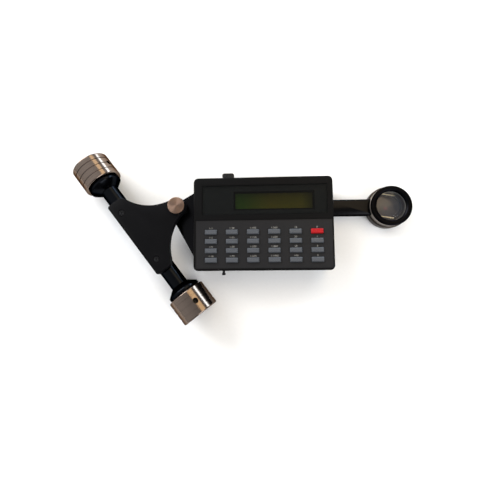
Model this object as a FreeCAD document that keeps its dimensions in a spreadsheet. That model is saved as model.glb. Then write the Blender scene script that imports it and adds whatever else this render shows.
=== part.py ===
import FreeCAD, Part
import math
import os
import re
import Sketcher
from types import SimpleNamespace
from FreeCAD import Placement, Rotation, Vector

# A rolling digital planimeter: a flat electronic unit with a display and keys, a tracer arm
# with a magnifier at its right, and at its left a two-roller carriage that swings on a pivot.
# The paper is the plane z = 0. Lengths are millimetres.

SIZES = [
    ("case_length", 150.0, "case, along the tracer arm"),
    ("case_width", 101.0, "case, front to rear"),
    ("case_top", 36.0, "height of the case's upper face above the paper"),
    ("case_base", 7.0, "height of the case's underside"),
    ("case_split", 15.0, "height where the two half shells meet"),
    ("case_wall", 2.2, "side walls and floor of the case"),
    ("case_skin", 3.0, "upper face of the case"),
    ("case_corner", 5.0, "corner radius in plan"),
    ("case_edge", 1.2, "rounding of the upper edge"),
    ("seat_gap", 0.1, "clearance round a piece that drops into a recess"),
    ("slip_gap", 0.02, "radial clearance of a fixed pin or screw in its hole"),
    ("run_gap", 0.05, "radial clearance of a turning shaft in its bore"),
    ("guard_gap", 0.3, "clearance between a moving piece and its neighbour"),
    ("overcut", 1.0, "how far a cutting tool reaches past the face it opens"),
    ("weld", 0.5, "how far a joined piece runs into the one it stands on"),
    ("panel_left", 2.0, "case side to key panel, left"),
    ("panel_right", 1.2, "case side to key panel, right"),
    ("panel_front", 2.2, "case front to key panel"),
    ("panel_rear", 54.5, "case front to the rear edge of the key panel"),
    ("panel_sink", 1.8, "depth of the key panel's recess"),
    ("panel_thick", 1.2, "key panel"),
    ("window_left", 9.3, "case side to display window"),
    ("window_front", 60.4, "case front to display window"),
    ("window_right", 6.1, "display window to case side, right"),
    ("window_rear", 8.8, "display window to case rear"),
    ("window_thick", 1.6, "display window"),
    ("lcd_left", 44.5, "case side to the visible display"),
    ("lcd_front", 66.0, "case front to the visible display"),
    ("lcd_right", 20.5, "visible display to case side, right"),
    ("lcd_rear", 16.4, "visible display to case rear"),
    ("lcd_border", 1.5, "display glass hidden under its frame"),
    ("lcd_glass", 3.4, "display glass with its rear film"),
    ("lcd_rail", 1.6, "side wall of the display frame"),
    ("lcd_lip", 0.6, "lip of the display frame over the glass"),
    ("lcd_card", 1.6, "circuit card of the display module"),
    ("lcd_card_edge", 1.5, "card beyond the display frame"),
    ("key_columns", 6, "number of key columns"),
    ("key_rows", 4, "number of key rows"),
    ("key_left", 18.95, "case side to the first column's centre"),
    ("key_front", 11.33, "case front to the front row's centre"),
    ("key_right", 17.825, "last column's centre to case side, right"),
    ("key_rear", 13.14, "rear row's centre to the key panel's rear edge"),
    ("key_length", 12.9, "key cap"),
    ("key_width", 5.3, "key cap"),
    ("key_proud", 1.8, "key cap above the key panel"),
    ("key_bevel", 0.7, "bevel round the key cap"),
    ("key_flange", 0.7, "flange that keeps the key in"),
    ("key_flange_thick", 1.2, "flange that keeps the key in"),
    ("key_travel", 1.2, "key stroke"),
    ("mat_thick", 1.8, "rubber key mat"),
    ("dome_radius", 2.0, "rubber dome under each key"),
    ("dome_rise", 1.0, "rubber dome above the mat"),
    ("board_margin", 11.0, "case side to main board"),
    ("board_front", 5.0, "case front to main board"),
    ("board_thick", 1.6, "main board"),
    ("post_radius", 2.5, "posts that carry the main board"),
    ("post_inset", 5.0, "board edge to post centre"),
    ("boss_inset", 6.5, "case side to screw boss centre"),
    ("boss_radius", 4.0, "screw bosses in the corners"),
    ("case_screw_radius", 1.5, "shank of the case screws"),
    ("case_screw_reach", 15.0, "shank of the case screws"),
    ("case_screw_head", 2.8, "head radius of the case screws"),
    ("case_screw_sink", 2.0, "head height of the case screws"),
    ("case_screw_depth", 0.2, "case screw heads below the underside's face"),
    ("cell_radius", 7.1, "battery cell"),
    ("cell_left", 65.0, "case side to the cells, left"),
    ("cell_count", 4, "battery cells side by side"),
    ("cell_pitch", 14.6, "battery cell spacing"),
    ("cell_right", 35.0, "cells to case side, right"),
    ("cell_front", 22.0, "case front to the first cell's axis"),
    ("switch_x", 37.5, "power switch knob centre"),
    ("switch_z", 29.0, "power switch knob centre"),
    ("switch_length", 13.0, "power switch knob"),
    ("switch_height", 6.0, "power switch knob"),
    ("switch_reach", 5.7, "power switch knob out of the case"),
    ("switch_round", 2.2, "corner radius of the power switch knob"),
    ("switch_stem", 4.0, "stem of the power switch knob"),
    ("switch_stem_height", 2.6, "stem of the power switch knob"),
    ("switch_travel", 3.0, "power switch stroke"),
    ("switch_box", 11.0, "power switch body"),
    ("switch_box_depth", 6.9, "power switch body"),
    ("switch_box_height", 4.4, "power switch body"),
    ("brake_x", 31.5, "brake lever, off"),
    ("brake_z", 23.0, "brake lever"),
    ("brake_radius", 1.4, "brake lever pin"),
    ("brake_tip_radius", 2.0, "brake lever tip"),
    ("brake_tip", 2.4, "length of the brake lever tip"),
    ("brake_reach", 4.8, "brake lever out of the case"),
    ("brake_travel", 4.0, "brake lever stroke"),
    ("brake_plate", 1.4, "slider behind the wall"),
    ("brake_plate_height", 7.0, "slider behind the wall"),
    ("brake_plate_length", 14.0, "slider behind the wall"),
    ("jack_right", 30.0, "adapter socket to case side, right"),
    ("jack_z", 19.5, "adapter socket"),
    ("jack_radius", 4.0, "outside of the adapter socket"),
    ("jack_length", 15.0, "adapter socket"),
    ("jack_bore", 1.8, "bore of the adapter socket"),
    ("jack_bore_depth", 12.0, "bore of the adapter socket"),
    ("arm_y", 70.0, "case front to the middle of the tracer arm"),
    ("arm_width", 18.0, "tracer arm"),
    ("arm_base", 4.0, "underside of the tracer arm above the paper"),
    ("arm_top", 14.0, "upper face of the tracer arm above the paper"),
    ("arm_edge", 1.2, "bevel of the tracer arm"),
    ("arm_tongue", 22.0, "tongue of the arm inside the case"),
    ("arm_screw_pitch", 9.0, "screws in the tongue"),
    ("lens_x", 216.85, "case left side to the magnifier's axis"),
    ("eye_radius", 23.5, "eye of the arm round the magnifier"),
    ("eye_base", 1.0, "underside of the eye above the paper"),
    ("eye_top", 9.0, "upper face of the eye above the paper"),
    ("barrel_radius", 22.0, "magnifier barrel"),
    ("barrel_spigot", 20.5, "barrel inside the eye"),
    ("barrel_top", 17.5, "top of the barrel"),
    ("barrel_bore", 17.0, "inside of the barrel"),
    ("barrel_break", 0.4, "broken edge of the barrel"),
    ("lens_seat", 13.0, "height of the lens seat above the paper"),
    ("lens_radius", 18.1, "magnifying glass"),
    ("lens_edge", 1.6, "thickness of the glass at its edge"),
    ("lens_crown", 4.2, "thickness of the glass in the middle"),
    ("ring_radius", 22.1, "black ring over the glass"),
    ("ring_bore", 16.3, "clear opening of the black ring"),
    ("ring_thick", 3.5, "black ring over the glass"),
    ("ring_edge", 0.6, "outer bevel of the black ring"),
    ("ring_slope", 1.3, "inner slope of the black ring"),
    ("gate_width", 21.6, "distance between the straight edges under the glass"),
    ("gate_radius", 15.5, "round ends of the opening under the glass"),
    ("gate_thick", 2.6, "plate with the straight edges"),
    ("gate_turn", -9.6, "turn of the straight edges against the arm, degrees"),
    ("trace_radius", 17.9, "clear plate with the tracing mark"),
    ("trace_thick", 2.0, "clear plate with the tracing mark"),
    ("trace_base", 0.5, "clear plate above the paper"),
    ("mark_radius", 0.6, "tracing mark, a small pit"),
    ("wheel_x", 30.0, "case left side to the measuring wheel"),
    ("wheel_radius", 10.0, "measuring wheel"),
    ("wheel_width", 5.0, "measuring wheel"),
    ("wheel_edge", 0.6, "bevel of the measuring wheel's rim"),
    ("wheel_side_gap", 0.8, "slot wider than the wheel, each side"),
    ("journal_radius", 2.0, "journals turned on the measuring wheel"),
    ("journal_left", 12.0, "wheel centre to the left end"),
    ("journal_right", 20.0, "wheel centre to the right end"),
    ("cheek_gap", 8.0, "wheel centre to the inner face of a bearing cheek"),
    ("cheek_thick", 4.0, "bearing cheek"),
    ("cheek_width", 12.0, "bearing cheek"),
    ("cheek_top", 15.0, "top of the bearing cheeks"),
    ("disc_radius", 6.6, "encoder disc"),
    ("disc_thick", 1.0, "encoder disc"),
    ("disc_offset", 16.5, "wheel centre to encoder disc"),
    ("sensor_length", 8.5, "encoder sensor"),
    ("sensor_width", 8.0, "encoder sensor"),
    ("sensor_base", 12.8, "underside of the encoder sensor"),
    ("sensor_top", 20.5, "top of the encoder sensor"),
    ("blister_left", 14.0, "wheel centre to the blister's left side"),
    ("blister_right", 28.0, "wheel centre to the blister's right side"),
    ("blister_width", 32.0, "blister under the case"),
    ("blister_base", 1.5, "underside of the blister above the paper"),
    ("blister_wall", 1.2, "wall of the blister"),
    ("pivot_x", -17.6, "case left side to the carriage pivot"),
    ("pivot_reach", 52.0, "carriage pivot to the rollers' axle"),
    ("swing_angle", 37.5, "turn of the carriage in the rest pose, degrees"),
    ("wing_top", 24.0, "upper face of the wing bracket"),
    ("wing_thick", 8.0, "wing bracket"),
    ("wing_nose", 10.0, "wing bracket round the pivot"),
    ("wing_heel", 7.5, "pivot to the lower end of the bracket's straight end"),
    ("wing_rear", 88.4, "rear corner of the wing bracket on the case"),
    ("wing_front", 12.5, "front corner of the wing bracket on the case"),
    ("wing_knee_x", 4.1, "front bend of the wing bracket, from the case"),
    ("wing_knee_y", 20.0, "front bend of the wing bracket"),
    ("wing_hip_x", 14.3, "rear bend of the wing bracket, from the case"),
    ("wing_screw_pitch", 22.0, "screws through the case wall"),
    ("wing_screw_radius", 1.5, "screws through the case wall and the arm"),
    ("wing_screw_reach", 8.0, "shank of the wing screws"),
    ("wing_screw_head", 2.8, "head radius of the wing screws"),
    ("wing_screw_head_thick", 2.0, "head of the wing screws"),
    ("pin_radius", 5.0, "pivot pin in the wing bracket"),
    ("pin_head_radius", 7.0, "head of the pivot pin"),
    ("pin_head", 1.6, "head of the pivot pin"),
    ("pin_shoulder", 7.5, "shoulder under the carriage plate"),
    ("pin_journal", 4.0, "pivot pin in the carriage plate"),
    ("pin_stud", 2.5, "threaded end in the knob"),
    ("pin_stud_length", 3.1, "threaded end in the knob"),
    ("knob_radius", 9.0, "pivot knob"),
    ("knob_thick", 4.2, "pivot knob"),
    ("knob_edge", 0.6, "bevel of the pivot knob"),
    ("plate_top", 39.5, "upper face of the carriage plate"),
    ("plate_thick", 8.8, "carriage plate"),
    ("plate_edge", 0.6, "bevel round the carriage plate"),
    ("plate_back", 9.0, "axle line to the plate's outer edge"),
    ("plate_half", 46.4, "middle of the plate to its end"),
    ("plate_end_width", 8.5, "axle line to the inner corner of the plate's end"),
    ("plate_shoulder", 40.2, "middle of the plate to the start of the arc"),
    ("plate_shoulder_width", 12.9, "axle line to the start of the arc"),
    ("nose_radius", 9.5, "carriage plate round the pivot"),
    ("nose_seat", 9.025, "half width of the plate where its nose begins"),
    ("notch_across", 60.6, "axle line to the centre of the arc"),
    ("notch_along", 60.8, "middle of the plate to the centre of the arc"),
    ("plate_corner", 1.5, "cut corners of the plate's outer edge"),
    ("plate_screw_offset", 32.0, "middle of the plate to each screw"),
    ("plate_screw_head", 3.0, "head radius of the plate screws"),
    ("plate_screw_head_thick", 3.0, "head of the plate screws"),
    ("plate_screw_sink", 0.2, "screw heads below the plate's face"),
    ("plate_screw_radius", 1.6, "shank of the plate screws"),
    ("plate_screw_grip", 3.4, "thread of the plate screws in the tube"),
    ("socket_radius", 1.5, "hexagon socket of the plate screws"),
    ("socket_floor", 0.5, "left under the hexagon in a cap screw's head"),
    ("socket_depth", 1.8, "hexagon socket of the plate screws"),
    ("tube_radius", 9.7, "axle tube"),
    ("tube_bore", 5.5, "bore of the axle tube"),
    ("tube_half", 67.4, "middle of the axle tube to its end"),
    ("cup_radius", 18.4, "rim of the bearing cups"),
    ("cup_flare", 6.3, "conical part of the bearing cups"),
    ("cup_length", 10.1, "bearing cups"),
    ("bearing_radius", 11.0, "ball bearing, outside"),
    ("bearing_width", 7.0, "ball bearing"),
    ("race_outer", 8.8, "inside of the bearing's outer ring"),
    ("race_inner", 6.2, "outside of the bearing's inner ring"),
    ("ball_radius", 1.2, "bearing balls"),
    ("ball_count", 8, "balls in each bearing"),
    ("axle_radius", 4.0, "axle shaft"),
    ("axle_inset", 2.0, "roller's outer face to the end of the axle shaft"),
    ("roller_radius", 21.37, "roller"),
    ("roller_gap", 0.9, "bearing cup to roller"),
    ("roller_width", 28.4, "roller"),
    ("roller_edge", 1.2, "bevel of the roller"),
    ("roller_groove", 0.6, "width of the roller's fine grooves"),
    ("roller_groove_depth", 0.35, "depth of the roller's fine grooves"),
    ("roller_dish", 17.0, "dished outer face of the roller"),
    ("roller_dish_depth", 3.0, "dished outer face of the roller"),
    ("roller_hub", 8.0, "hub in the dished face"),
    ("grub_hole", 2.75, "radial hole of the roller's set screw"),
    ("grub_radius", 2.7, "set screw"),
    ("grub_length", 8.0, "set screw"),
    ("grub_turn_front", 21.0, "front roller's hole from the top, degrees"),
    ("grub_turn_rear", 72.0, "rear roller's hole from the top, degrees"),
]

doc = FreeCAD.newDocument("planimeter")
dims = doc.addObject("Spreadsheet::Sheet", "dims")
for line, (alias, value, note) in enumerate(SIZES, start=1):
    dims.set(f"A{line}", note)
    dims.set(f"B{line}", str(value))
    dims.setAlias(f"B{line}", alias)
doc.recompute()
s = SimpleNamespace(**{alias: float(dims.get(alias)) for alias, value, note in SIZES})

UP = Vector(0, 0, 1)
RIGHT = Vector(1, 0, 0)
REAR = Vector(0, 1, 0)
nodes = {}


def bound(text):
    """Put the sheet's name before each of its aliases in an expression."""
    return re.sub(r"[a-z]\w*", lambda word: "dims." + word[0] if hasattr(s, word[0]) else word[0], text)


def block(size, corner):
    """A box of three bound sides with its lowest corner at a point."""
    item = doc.addObject("Part::Box", "block")
    for side, text in zip(("Length", "Width", "Height"), size):
        item.setExpression(side, bound(text))
    item.Placement = Placement(Vector(*corner), Rotation())
    return item


def rod(radius, length, foot, axis=UP):
    """A cylinder of bound radius and length that runs from a point along an axis."""
    item = doc.addObject("Part::Cylinder", "rod")
    item.setExpression("Radius", bound(radius))
    item.setExpression("Height", bound(length))
    item.Placement = Placement(Vector(*foot), Rotation(UP, axis))
    return item


def hexagon(radius, depth, foot, axis=UP):
    """A hexagonal prism, the tool for a screw's socket."""
    item = doc.addObject("Part::Prism", "hexagon")
    item.Polygon = 6
    item.setExpression("Circumradius", bound(radius))
    item.setExpression("Height", bound(depth))
    item.Placement = Placement(Vector(*foot), Rotation(UP, axis))
    return item


def less(base, *tools):
    """Cut each tool from the base in turn."""
    for tool in tools:
        item = doc.addObject("Part::Cut", "cut")
        item.Base = base
        item.Tool = tool
        base = item
    return base


def joined(*items):
    """Fuse the items into one solid."""
    item = doc.addObject("Part::MultiFuse", "join")
    item.Shapes = list(items)
    return item


def group(*items):
    """Keep the items together as separate solids."""
    item = doc.addObject("Part::Compound", "group")
    item.Links = list(items)
    return item


def edges_at(item, height=None, upright=False):
    """Numbers of the edges that lie at a height, or of the upright edges."""
    doc.recompute()
    found = []
    for number, edge in enumerate(item.Shape.Edges, start=1):
        box = edge.BoundBox
        if upright:
            wanted = box.XLength + box.YLength < 1e-4 < box.ZLength
        else:
            wanted = abs(box.ZMin - height) < 1e-4 and abs(box.ZMax - height) < 1e-4
        if wanted:
            found.append(number)
    return found


def softened(item, size, numbers, kind="Part::Chamfer"):
    """Chamfer or fillet the numbered edges."""
    result = doc.addObject(kind, "softened")
    result.Base = item
    result.Edges = [(number, size, size) for number in numbers]
    return result


def rounded_block(size, corner, radius):
    """A box with rounded upright corners."""
    plain = block(size, corner)
    return softened(plain, radius, edges_at(plain, upright=True), "Part::Fillet")


def outline(body, role, points):
    """A closed sketch of straight lines through bound points on an origin plane."""
    sketch = body.newObject("Sketcher::SketchObject", "outline")
    plane = next(item for item in body.Origin.OriginFeatures if item.Role == role)
    sketch.AttachmentSupport = [(plane, "")]
    sketch.MapMode = "FlatFace"
    count = len(points)
    step = 2 * math.pi / count
    start = [Vector(math.cos(step * i), math.sin(step * i), 0) for i in range(count)]
    for i in range(count):
        sketch.addGeometry(Part.LineSegment(start[i], start[(i + 1) % count]), False)
    for i, point in enumerate(points):
        sketch.addConstraint(Sketcher.Constraint("Coincident", i, 2, (i + 1) % count, 1))
        for kind, text in zip(("DistanceX", "DistanceY"), point):
            number = sketch.addConstraint(Sketcher.Constraint(kind, -1, 1, i, 1, 1.0))
            sketch.setExpression(f"Constraints[{number}]", bound(text))
    return sketch


def turned(points, foot=(0, 0, 0), axis=UP):
    """A turned piece: points of radius and distance along the axis from its foot."""
    body = doc.addObject("PartDesign::Body", "turned")
    spin = body.newObject("PartDesign::Revolution", "spin")
    sketch = outline(body, "XZ_Plane", points)
    spin.Profile = sketch
    spin.ReferenceAxis = (sketch, ["V_Axis"])
    spin.Angle = 360
    body.Tip = spin
    body.Placement = Placement(Vector(*foot), Rotation(UP, axis))
    return body


def padded(points, thickness, height):
    """A flat piece: plan points, a thickness and the height of its underside."""
    body = doc.addObject("PartDesign::Body", "padded")
    pad = body.newObject("PartDesign::Pad", "pad")
    pad.Profile = outline(body, "XY_Plane", points)
    pad.setExpression("Length", bound(thickness))
    body.Tip = pad
    body.Placement = Placement(Vector(0, 0, height), Rotation())
    return body


def keep(label, item, home):
    """Name a finished piece and move it from its own frame to the object's."""
    item.Label = label
    item.Placement = home * item.Placement
    nodes[label] = item


# The frames. Most pieces are laid out from the case's front left corner, and the carriage from
# its pivot with x across the axle and y along it. The origin is the middle of the whole footprint.
across = Vector(math.cos(math.radians(s.swing_angle)), math.sin(math.radians(s.swing_angle)), 0)
axle_x = s.pivot_x - s.pivot_reach * across.x
axle_y = s.arm_y - s.pivot_reach * across.y
roller_start = s.tube_half + s.cup_length + s.roller_gap
roller_end = roller_start + s.roller_width
left_reach = max(
    (roller_end - s.roller_edge) * across.y + s.roller_radius * across.x,
    roller_end * across.y + (s.roller_radius - s.roller_edge) * across.x,
)
origin_x = (s.lens_x + s.eye_radius + axle_x - left_reach) / 2
CASE = Placement(Vector(-origin_x, -axle_y, 0), Rotation())
CARRIAGE = CASE * Placement(Vector(s.pivot_x, s.arm_y, 0), Rotation(UP, s.swing_angle))

# Heights that several pieces share.
floor_top = s.case_base + s.case_wall
skin_base = s.case_top - s.case_skin
recess_floor = s.case_top - s.panel_sink
panel_face = recess_floor + s.panel_thick
flange_base = skin_base - s.guard_gap - s.key_flange_thick
mat_base = flange_base - s.key_travel - s.guard_gap - s.dome_rise - s.mat_thick
board_base = mat_base - s.board_thick
plate_base = s.plate_top - s.plate_thick
wing_base = s.wing_top - s.wing_thick

# What stretches with the case: the window, the display and the pitch of the keys.
WINDOW_LENGTH = "case_length - window_left - window_right"
WINDOW_WIDTH = "case_width - window_front - window_rear"
LCD_LENGTH = "case_length - lcd_left - lcd_right"
LCD_WIDTH = "case_width - lcd_front - lcd_rear"
key_pitch_x = (s.case_length - s.key_left - s.key_right) / (s.key_columns - 1)
key_pitch_y = (s.panel_rear - s.key_rear - s.key_front) / (s.key_rows - 1)
jack_x = s.case_length - s.jack_right

corners = [
    (x, y)
    for x in (s.boss_inset, s.case_length - s.boss_inset)
    for y in (s.boss_inset, s.case_width - s.boss_inset)
]
key_places = [
    (
        f"key_r{row + 1}c{column + 1}",
        s.key_left + column * key_pitch_x,
        s.key_front + (int(s.key_rows) - 1 - row) * key_pitch_y,
    )
    for row in range(int(s.key_rows))
    for column in range(int(s.key_columns))
]
HOLE_LENGTH = "key_length + 2*guard_gap"
HOLE_WIDTH = "key_width + 2*guard_gap"


def key_holes(base, depth):
    """Tools that open the key holes from a height upwards."""
    return group(*[
        block(
            (HOLE_LENGTH, HOLE_WIDTH, depth),
            (x - s.key_length / 2 - s.guard_gap, y - s.key_width / 2 - s.guard_gap, base),
        )
        for label, x, y in key_places
    ])


# The wing screws' places on the case's left wall, and the arm screws' places on the tongue.
wing_middle = (s.wing_rear + s.wing_front) / 2
wing_screws = [wing_middle + turn * s.wing_screw_pitch for turn in (-1, 0, 1)]
wing_axis_z = s.wing_top - s.wing_thick / 2
arm_screws = [s.case_length - s.arm_tongue / 2 + turn * s.arm_screw_pitch / 2 for turn in (-1, 1)]


# Upper case: an open box with four screw bosses, moulded with the key and display openings.
shell = rounded_block(
    ("case_length", "case_width", "case_top - case_split"), (0, 0, s.case_split), s.case_corner
)
shell = softened(shell, s.case_edge, edges_at(shell, s.case_top), "Part::Fillet")
cavity = rounded_block(
    ("case_length - 2*case_wall", "case_width - 2*case_wall", "case_top - case_skin - case_split + overcut"),
    (s.case_wall, s.case_wall, s.case_split - s.overcut),
    s.case_corner - s.case_wall,
)
bosses = [
    rod("boss_radius", "case_top - case_skin - case_split + weld", (x, y, s.case_split))
    for x, y in corners
]
pilots = [
    rod("case_screw_radius + slip_gap", "case_screw_reach + overcut", (x, y, s.case_split - s.overcut))
    for x, y in corners
]
panel_recess = block(
    ("case_length - panel_left - panel_right", "panel_rear - panel_front", "panel_sink + overcut"),
    (s.panel_left, s.panel_front, recess_floor),
)
window_recess = block(
    (WINDOW_LENGTH, WINDOW_WIDTH, "window_thick + overcut"),
    (s.window_left, s.window_front, s.case_top - s.window_thick),
)
lcd_opening = block(
    (LCD_LENGTH, LCD_WIDTH, "case_skin + 2*overcut"), (s.lcd_left, s.lcd_front, skin_base - s.overcut)
)
switch_slot = block(
    (
        "switch_stem + switch_travel + 2*guard_gap",
        "case_wall + 2*overcut",
        "switch_stem_height + 2*guard_gap",
    ),
    (
        s.switch_x - s.switch_stem / 2 - s.guard_gap,
        s.case_width - s.case_wall - s.overcut,
        s.switch_z - s.switch_stem_height / 2 - s.guard_gap,
    ),
)
brake_slot = block(
    ("2*brake_radius + brake_travel + 2*guard_gap", "case_wall + 2*overcut", "2*brake_radius + 2*guard_gap"),
    (
        s.brake_x - s.brake_radius - s.guard_gap,
        -s.overcut,
        s.brake_z - s.brake_radius - s.guard_gap,
    ),
)
jack_hole = rod(
    "jack_radius + slip_gap",
    "case_wall + 2*overcut",
    (jack_x, s.case_width - s.case_wall - s.overcut, s.jack_z),
    REAR,
)
wing_holes = [
    rod("wing_screw_radius + slip_gap", "case_wall + 2*overcut", (-s.overcut, y, wing_axis_z), RIGHT)
    for y in wing_screws
]
upper_case = less(
    joined(less(shell, cavity), *bosses),
    *pilots,
    panel_recess,
    window_recess,
    lcd_opening,
    key_holes(skin_base - s.overcut, "case_skin + 2*overcut"),
    switch_slot,
    brake_slot,
    jack_hole,
    group(*wing_holes),
)
keep("upper_case", upper_case, CASE)

# Lower case: a tray with the board posts, the screw bosses, a notch for the arm, and under it
# the blister that brings the measuring wheel's bearings down to the paper.
tray = rounded_block(
    ("case_length", "case_width", "case_split - case_base"), (0, 0, s.case_base), s.case_corner
)
tray_cavity = rounded_block(
    (
        "case_length - 2*case_wall",
        "case_width - 2*case_wall",
        "case_split - case_base - case_wall + overcut",
    ),
    (s.case_wall, s.case_wall, floor_top),
    s.case_corner - s.case_wall,
)
blister_x = s.wheel_x - s.blister_left
blister_y = s.arm_y - s.blister_width / 2
blister = block(
    ("blister_left + blister_right", "blister_width", "case_base - blister_base + case_wall / 2"),
    (blister_x, blister_y, s.blister_base),
)
blister_cavity = block(
    (
        "blister_left + blister_right - 2*blister_wall",
        "blister_width - 2*blister_wall",
        "case_base + case_wall + overcut - blister_base - blister_wall",
    ),
    (blister_x + s.blister_wall, blister_y + s.blister_wall, s.blister_base + s.blister_wall),
)
blister_floor = s.blister_base + s.blister_wall
slot_half = math.sqrt(s.wheel_radius ** 2 - (s.wheel_radius - blister_floor) ** 2)
wheel_slot = block(
    (
        "wheel_width + 2*wheel_side_gap",
        "2*sqrt(wheel_radius^2 - (wheel_radius - blister_base - blister_wall)^2) + 2*wheel_side_gap",
        "blister_wall + 2*overcut",
    ),
    (
        s.wheel_x - s.wheel_width / 2 - s.wheel_side_gap,
        s.arm_y - slot_half - s.wheel_side_gap,
        s.blister_base - s.overcut,
    ),
)
board_length = s.case_length - 2 * s.board_margin
board_width = s.case_width - 2 * s.board_front
posts = [
    rod("post_radius", f"{board_base} - case_base - case_wall + weld", (x, y, floor_top - s.weld))
    for x in (s.board_margin + s.post_inset, s.board_margin + board_length - s.post_inset)
    for y in (s.board_front + s.post_inset, s.board_front + board_width - s.post_inset)
]
low_bosses = [
    rod("boss_radius", "case_split - case_base - case_wall + weld", (x, y, floor_top - s.weld))
    for x, y in corners
]
below_tray = s.case_base - s.overcut
low_holes = [
    rod("case_screw_radius + slip_gap", "case_split - case_base + 2*overcut", (x, y, below_tray))
    for x, y in corners
]
low_sinks = [
    rod("case_screw_head + slip_gap", "case_screw_sink + case_screw_depth + overcut", (x, y, below_tray))
    for x, y in corners
]
arm_notch = block(
    ("case_wall + 2*overcut", "arm_width + 2*seat_gap", "case_split - case_base - case_wall + overcut"),
    (s.case_length - s.case_wall - s.overcut, s.arm_y - s.arm_width / 2 - s.seat_gap, floor_top),
)
arm_holes = [
    rod("wing_screw_radius + slip_gap", "case_wall + 2*overcut", (x, s.arm_y, below_tray))
    for x in arm_screws
]
lower_case = less(
    joined(less(joined(less(tray, tray_cavity), blister), blister_cavity), *posts, *low_bosses),
    wheel_slot,
    *low_holes,
    *low_sinks,
    arm_notch,
    *arm_holes,
)
keep("lower_case", lower_case, CASE)


def cap_screw(head_radius, head, radius, reach, foot, axis):
    """A screw from the face under its head: the axis points out of the head."""
    socket_foot = Vector(*foot) + axis * s.socket_floor
    return less(
        joined(rod(head_radius, head, foot, axis), rod(radius, reach, foot, axis * -1)),
        hexagon("socket_radius", f"{head} + overcut", (socket_foot.x, socket_foot.y, socket_foot.z), axis),
    )


# Case screws: four, driven from below through the tray's bosses into the upper case.
head_foot = s.case_base + s.case_screw_sink + s.case_screw_depth
case_screws = [
    cap_screw("case_screw_head", "case_screw_sink", "case_screw_radius", "case_screw_reach",
              (x, y, head_foot), UP * -1)
    for x, y in corners
]
keep("case_screws", group(*case_screws), CASE)

# Key panel: a plate with the key openings, glued into the recess of the upper case.
panel = block(
    (
        "case_length - panel_left - panel_right - 2*seat_gap",
        "panel_rear - panel_front - 2*seat_gap",
        "panel_thick",
    ),
    (s.panel_left + s.seat_gap, s.panel_front + s.seat_gap, recess_floor),
)
keep("key_panel", less(panel, key_holes(recess_floor - s.overcut, "panel_thick + 2*overcut")), CASE)

# Display window: a smoked plate in its recess over the display.
window = block(
    (f"{WINDOW_LENGTH} - 2*seat_gap", f"{WINDOW_WIDTH} - 2*seat_gap", "window_thick"),
    (s.window_left + s.seat_gap, s.window_front + s.seat_gap, s.case_top - s.window_thick),
)
keep("display_window", window, CASE)

# Main board on its posts, and the rubber key mat on the board.
board = block(
    ("case_length - 2*board_margin", "case_width - 2*board_front", "board_thick"),
    (s.board_margin, s.board_front, board_base),
)
keep("main_board", board, CASE)

mat = block(
    ("case_length - 2*board_margin", "panel_rear - board_front", "mat_thick"),
    (s.board_margin, s.board_front, mat_base),
)
domes = [rod("dome_radius", "mat_thick + dome_rise", (x, y, mat_base)) for label, x, y in key_places]
keep("key_mat", joined(mat, *domes), CASE)

# Display module: the glass on its card, and the frame that holds the glass down.
glass_corner = (s.lcd_left - s.lcd_border, s.lcd_front - s.lcd_border, mat_base + s.lcd_card)
card_edge = s.lcd_border + s.lcd_rail + s.lcd_card_edge
card = block(
    (
        f"{LCD_LENGTH} + 2*lcd_border + 2*lcd_rail + 2*lcd_card_edge",
        f"{LCD_WIDTH} + 2*lcd_border + 2*lcd_rail + 2*lcd_card_edge",
        "lcd_card",
    ),
    (s.lcd_left - card_edge, s.lcd_front - card_edge, mat_base),
)
glass = block((f"{LCD_LENGTH} + 2*lcd_border", f"{LCD_WIDTH} + 2*lcd_border", "lcd_glass"), glass_corner)
keep("lcd_module", joined(card, glass), CASE)

frame_edge = s.lcd_border + s.lcd_rail
frame_shell = block(
    (
        f"{LCD_LENGTH} + 2*lcd_border + 2*lcd_rail",
        f"{LCD_WIDTH} + 2*lcd_border + 2*lcd_rail",
        "lcd_glass + lcd_lip",
    ),
    (s.lcd_left - frame_edge, s.lcd_front - frame_edge, mat_base + s.lcd_card),
)
frame_cavity = block(
    (
        f"{LCD_LENGTH} + 2*lcd_border + 2*seat_gap",
        f"{LCD_WIDTH} + 2*lcd_border + 2*seat_gap",
        "lcd_glass + overcut",
    ),
    (
        glass_corner[0] - s.seat_gap,
        glass_corner[1] - s.seat_gap,
        mat_base + s.lcd_card - s.overcut,
    ),
)
frame_opening = block(
    (LCD_LENGTH, LCD_WIDTH, "lcd_glass + lcd_lip + 2*overcut"),
    (s.lcd_left, s.lcd_front, mat_base + s.lcd_card),
)
keep("lcd_frame", less(frame_shell, frame_cavity, frame_opening), CASE)

# Battery cells, side by side on the floor of the tray.
cells = [
    rod("cell_radius", "case_length - cell_left - cell_right",
        (s.cell_left, s.cell_front + number * s.cell_pitch, floor_top + s.cell_radius), RIGHT)
    for number in range(int(s.cell_count))
]
keep("battery_pack", group(*cells), CASE)

# Power switch: its body on the board, and the knob whose stem passes through the rear wall.
wall_inside = s.case_width - s.case_wall
switch_body = block(
    ("switch_box", "switch_box_depth", "switch_box_height"),
    (
        s.switch_x - s.switch_box / 2,
        wall_inside - 3 * s.guard_gap - s.switch_box_depth,
        mat_base,
    ),
)
keep("switch_body", switch_body, CASE)

knob_block = rounded_block(
    ("switch_length", "switch_reach", "switch_height"),
    (s.switch_x - s.switch_length / 2, s.case_width + s.guard_gap, s.switch_z - s.switch_height / 2),
    s.switch_round,
)
stem = block(
    ("switch_stem", "case_wall + 3*guard_gap + switch_reach / 2", "switch_stem_height"),
    (
        s.switch_x - s.switch_stem / 2,
        wall_inside - 2 * s.guard_gap,
        s.switch_z - s.switch_stem_height / 2,
    ),
)
keep("power_switch_knob", joined(knob_block, stem), CASE)

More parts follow.
